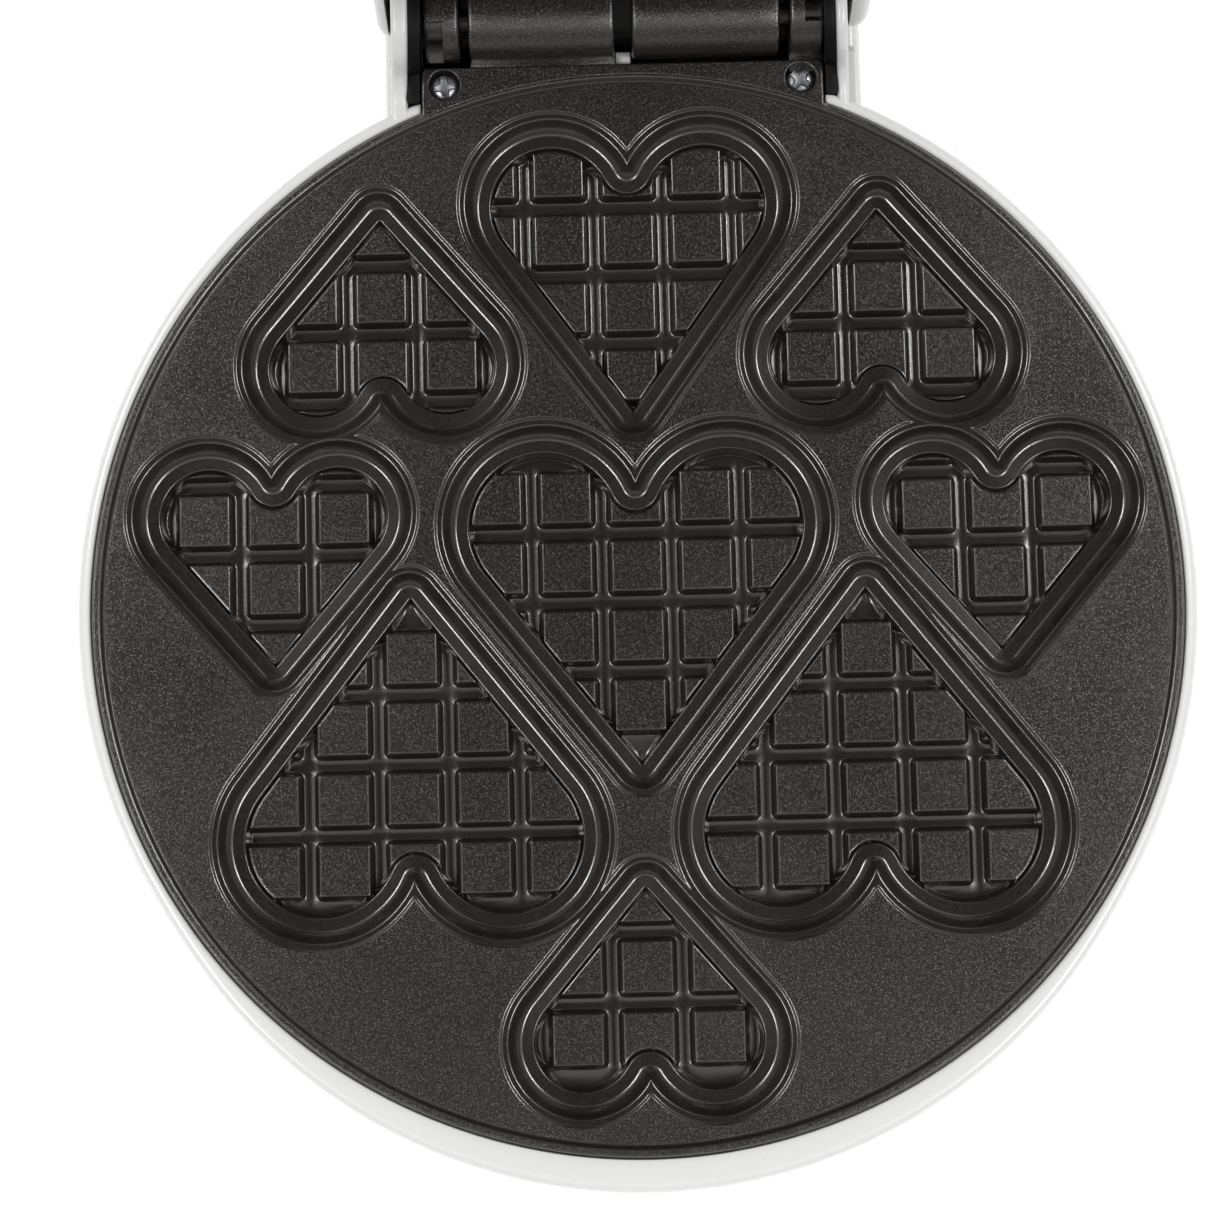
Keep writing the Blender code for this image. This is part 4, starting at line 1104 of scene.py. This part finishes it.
def build_latch():
    """Moulded hook plate with a ribbed thumb lip, on its own pivot."""
    y = LATCH_Y
    side = [(y + 0.8, LATCH_Z), (y - 1.6, LATCH_Z), (y - 1.6, 36.0), (y - 2.2, 33.6),
            (y - 3.6, 32.2), (y - 5.9, 31.6)]
    for k in range(3):
        z = 31.2 - 1.1 * k
        side += [(y - 6.4, z), (y - 6.4, z - 0.4), (y - 6.0, z - 0.6), (y - 6.0, z - 0.9)]
    side += [(y - 5.6, 27.9), (-110.6, 27.9), (-109.9, 28.5), (-109.9, 29.6), (-111.6, 31.2),
             (y + 2.4, 31.2), (y + 1.2, 31.8), (y + 0.8, 33.0)]
    body = rounded_slab("latch_plate", (-12.3, 12.3), side, 0.35, 2)
    tube = ((-12.3, 2.7), (-12.15, 3.0), (-11.9, 3.1), (11.9, 3.1), (12.15, 3.0), (12.3, 2.7))
    fuse(body, spin("latch_barrel", (y, LATCH_Z), "x", tube, 40))
    cut(body, spin("latch_bore", (y, LATCH_Z), "x", ((-14, LATCH_BORE_R), (14, LATCH_BORE_R)), 32))
    settle(body, "latch_hook", LATCH, "latch", "black_plastic", ("latch",))


def build_trim():
    """Rubber feet, the inlet bush and the two lamp lenses."""
    foot = ((0.0, 6.7), (0.12, 7.2), (0.5, 7.6), (1.2, 7.9), (6.2, 8.2))
    for i, (x, y) in enumerate(((-61, -61), (61, -61), (-61, 61), (61, 61))):
        settle(spin("foot", (x, y), "z", foot, 40), "rubber_foot_%d" % (i + 1), BASE, "base",
               "rubber", ("foot_%d" % (i + 1),))
    outside = ((126.2, 5.9), (128.1, 5.9), (128.12, 4.3), (131.2, 4.3), (131.22, 6.0),
               (131.5, 6.2), (132.6, 6.1), (133.2, 5.6), (133.35, 4.8))
    bush = spin("bush", INLET, "y", outside, 40)
    cut(bush, spin("bush_way", INLET, "y", ((125, 3.0), (135, 3.0)), 32))
    settle(bush, "inlet_bush", BASE, "base", "black_plastic", ("cord_inlet_bush",))
    for side, name, look in ((-1, "power", "red_lens"), (1, "ready", "green_lens")):
        cap = ((72.4, 3.0), (77.6, 3.4), (78.6, 3.25), (79.1, 2.8), (79.4, 2.1), (79.5, 1.0))
        settle(spin("lens", (side * LENS_X, LENS_Y), "z", cap, 32), name + "_light_cap", LID, "lid",
               look, (name + "_light_lens",))


# ---- camera and lighting
CAMERA_AZIMUTH, CAMERA_ELEVATION, CAMERA_ROLL = -2.898, 84.612, 1.4785  # degrees
CAMERA_DISTANCE, CAMERA_LENS = 0.54049, 80.97  # metres, mm
AIM_X, AIM_Y = -0.006248, -0.000454  # metres
SKY_STRENGTH, SKY_TILT = 0.66, 0.28
# sine of the height above the horizon, brightness: pale horizon, bright band, dark zenith
SKY = ((0.0, 1.48), (0.10, 1.48), (0.14, 0.33), (0.42, 0.45),
       (0.62, 1.3), (0.83, 1.3), (0.905, 0.22), (0.955, 0.05))
SUNS = (("left_front", -62), ("left_back", -120), ("right_front", 56), ("right_back", 116))
SUN_ELEVATION, SUN_SPREAD, SUN_STRENGTH = 51.0, 15.0, 1.1
FLOOR_HALF, FLOOR_GAP = 3.0, 0.0002  # metres


def build_camera():
    """The photographed view, almost straight down on the lower plate."""
    az, el, roll = map(radians, (CAMERA_AZIMUTH, CAMERA_ELEVATION, CAMERA_ROLL))
    out = Vector((sin(az) * cos(el), -cos(az) * cos(el), sin(el)))
    target = Vector((AIM_X, AIM_Y + SHIFT_Y, FIELD_Z * MM))
    right = (-out).cross(Vector((0, 0, 1))).normalized()
    up = right.cross(-out)
    across = right * cos(roll) + up * sin(roll)
    above = up * cos(roll) - right * sin(roll)
    turn = Matrix((across, above, out)).transposed()
    data = bpy.data.cameras.new("camera")
    data.lens, data.sensor_width = CAMERA_LENS, 36.0
    data.clip_start, data.clip_end = 0.01, 20.0
    camera = added("camera", data)
    camera.matrix_world = Matrix.Translation(target + out * CAMERA_DISTANCE) @ turn.to_4x4()
    bpy.context.scene.camera = camera


def soft_sun(name, azimuth):
    """Even soft light from one side; azimuth 0 is the front, 90 the right."""
    data = bpy.data.lights.new(name, "SUN")
    data.energy, data.angle = SUN_STRENGTH, radians(SUN_SPREAD)
    added(name, data).rotation_euler = (radians(90 - SUN_ELEVATION), 0, radians(azimuth))


def build_sky():
    """Soft surround, graded by height and a little brighter towards the front."""
    world = bpy.data.worlds.new("studio")
    world.use_nodes = True
    add, link = world.node_tree.nodes.new, world.node_tree.links.new
    sky = world.node_tree.nodes["Background"]
    coords, split = add("ShaderNodeTexCoord"), add("ShaderNodeSeparateXYZ")
    tilt, height, ramp = add("ShaderNodeMath"), add("ShaderNodeMath"), add("ShaderNodeValToRGB")
    tilt.operation, height.operation = "MULTIPLY_ADD", "MULTIPLY"
    tilt.inputs[1].default_value, tilt.inputs[2].default_value = SKY_TILT, 1.0
    link(coords.outputs["Generated"], split.inputs["Vector"])
    link(split.outputs["Y"], tilt.inputs[0])
    link(split.outputs["Z"], height.inputs[0])
    link(tilt.outputs[0], height.inputs[1])
    link(height.outputs[0], ramp.inputs["Fac"])
    link(ramp.outputs["Color"], sky.inputs["Color"])
    while len(ramp.color_ramp.elements) < len(SKY):
        ramp.color_ramp.elements.new(0.5)
    for element, (at, value) in zip(ramp.color_ramp.elements, SKY):
        element.position, element.color = at, (value, value, value, 1)
    sky.inputs["Strength"].default_value = SKY_STRENGTH
    bpy.context.scene.world = world


def build_stage():
    bm = bmesh.new()
    bmesh.ops.create_grid(bm, x_segments=8, y_segments=8, size=FLOOR_HALF)
    floor = object_from(bm, "floor")
    floor.location.z = cad_low[2] - FLOOR_GAP
    floor.data.materials.append(LOOKS["floor"])
    build_sky()
    for name, azimuth in SUNS:
        soft_sun("sun_" + name, azimuth)
    bpy.context.scene.view_settings.view_transform = "Standard"


def dress_cad():
    """Better materials for the CAD solids that stay in view."""
    slots = {s["node"]: s for s in frame["record"]["subparts"]}
    for name, obj in frame["nodes"].items():
        look = slots[name].get("material_slot") or slots[name].get("material")
        # hinge pins take the darkened steel, painted shade for their gaps
        if name.startswith("hinge_pin"):
            look = "shaded_steel"
        obj.data.materials.clear()
        obj.data.materials.append(LOOKS[look])


build_camera()
build_stage()
build_plates()
build_barrels()
build_screws()
build_base_housing()
build_lid_housing()
build_grip()
build_grip_underside()
build_latch()
build_trim()
dress_cad()
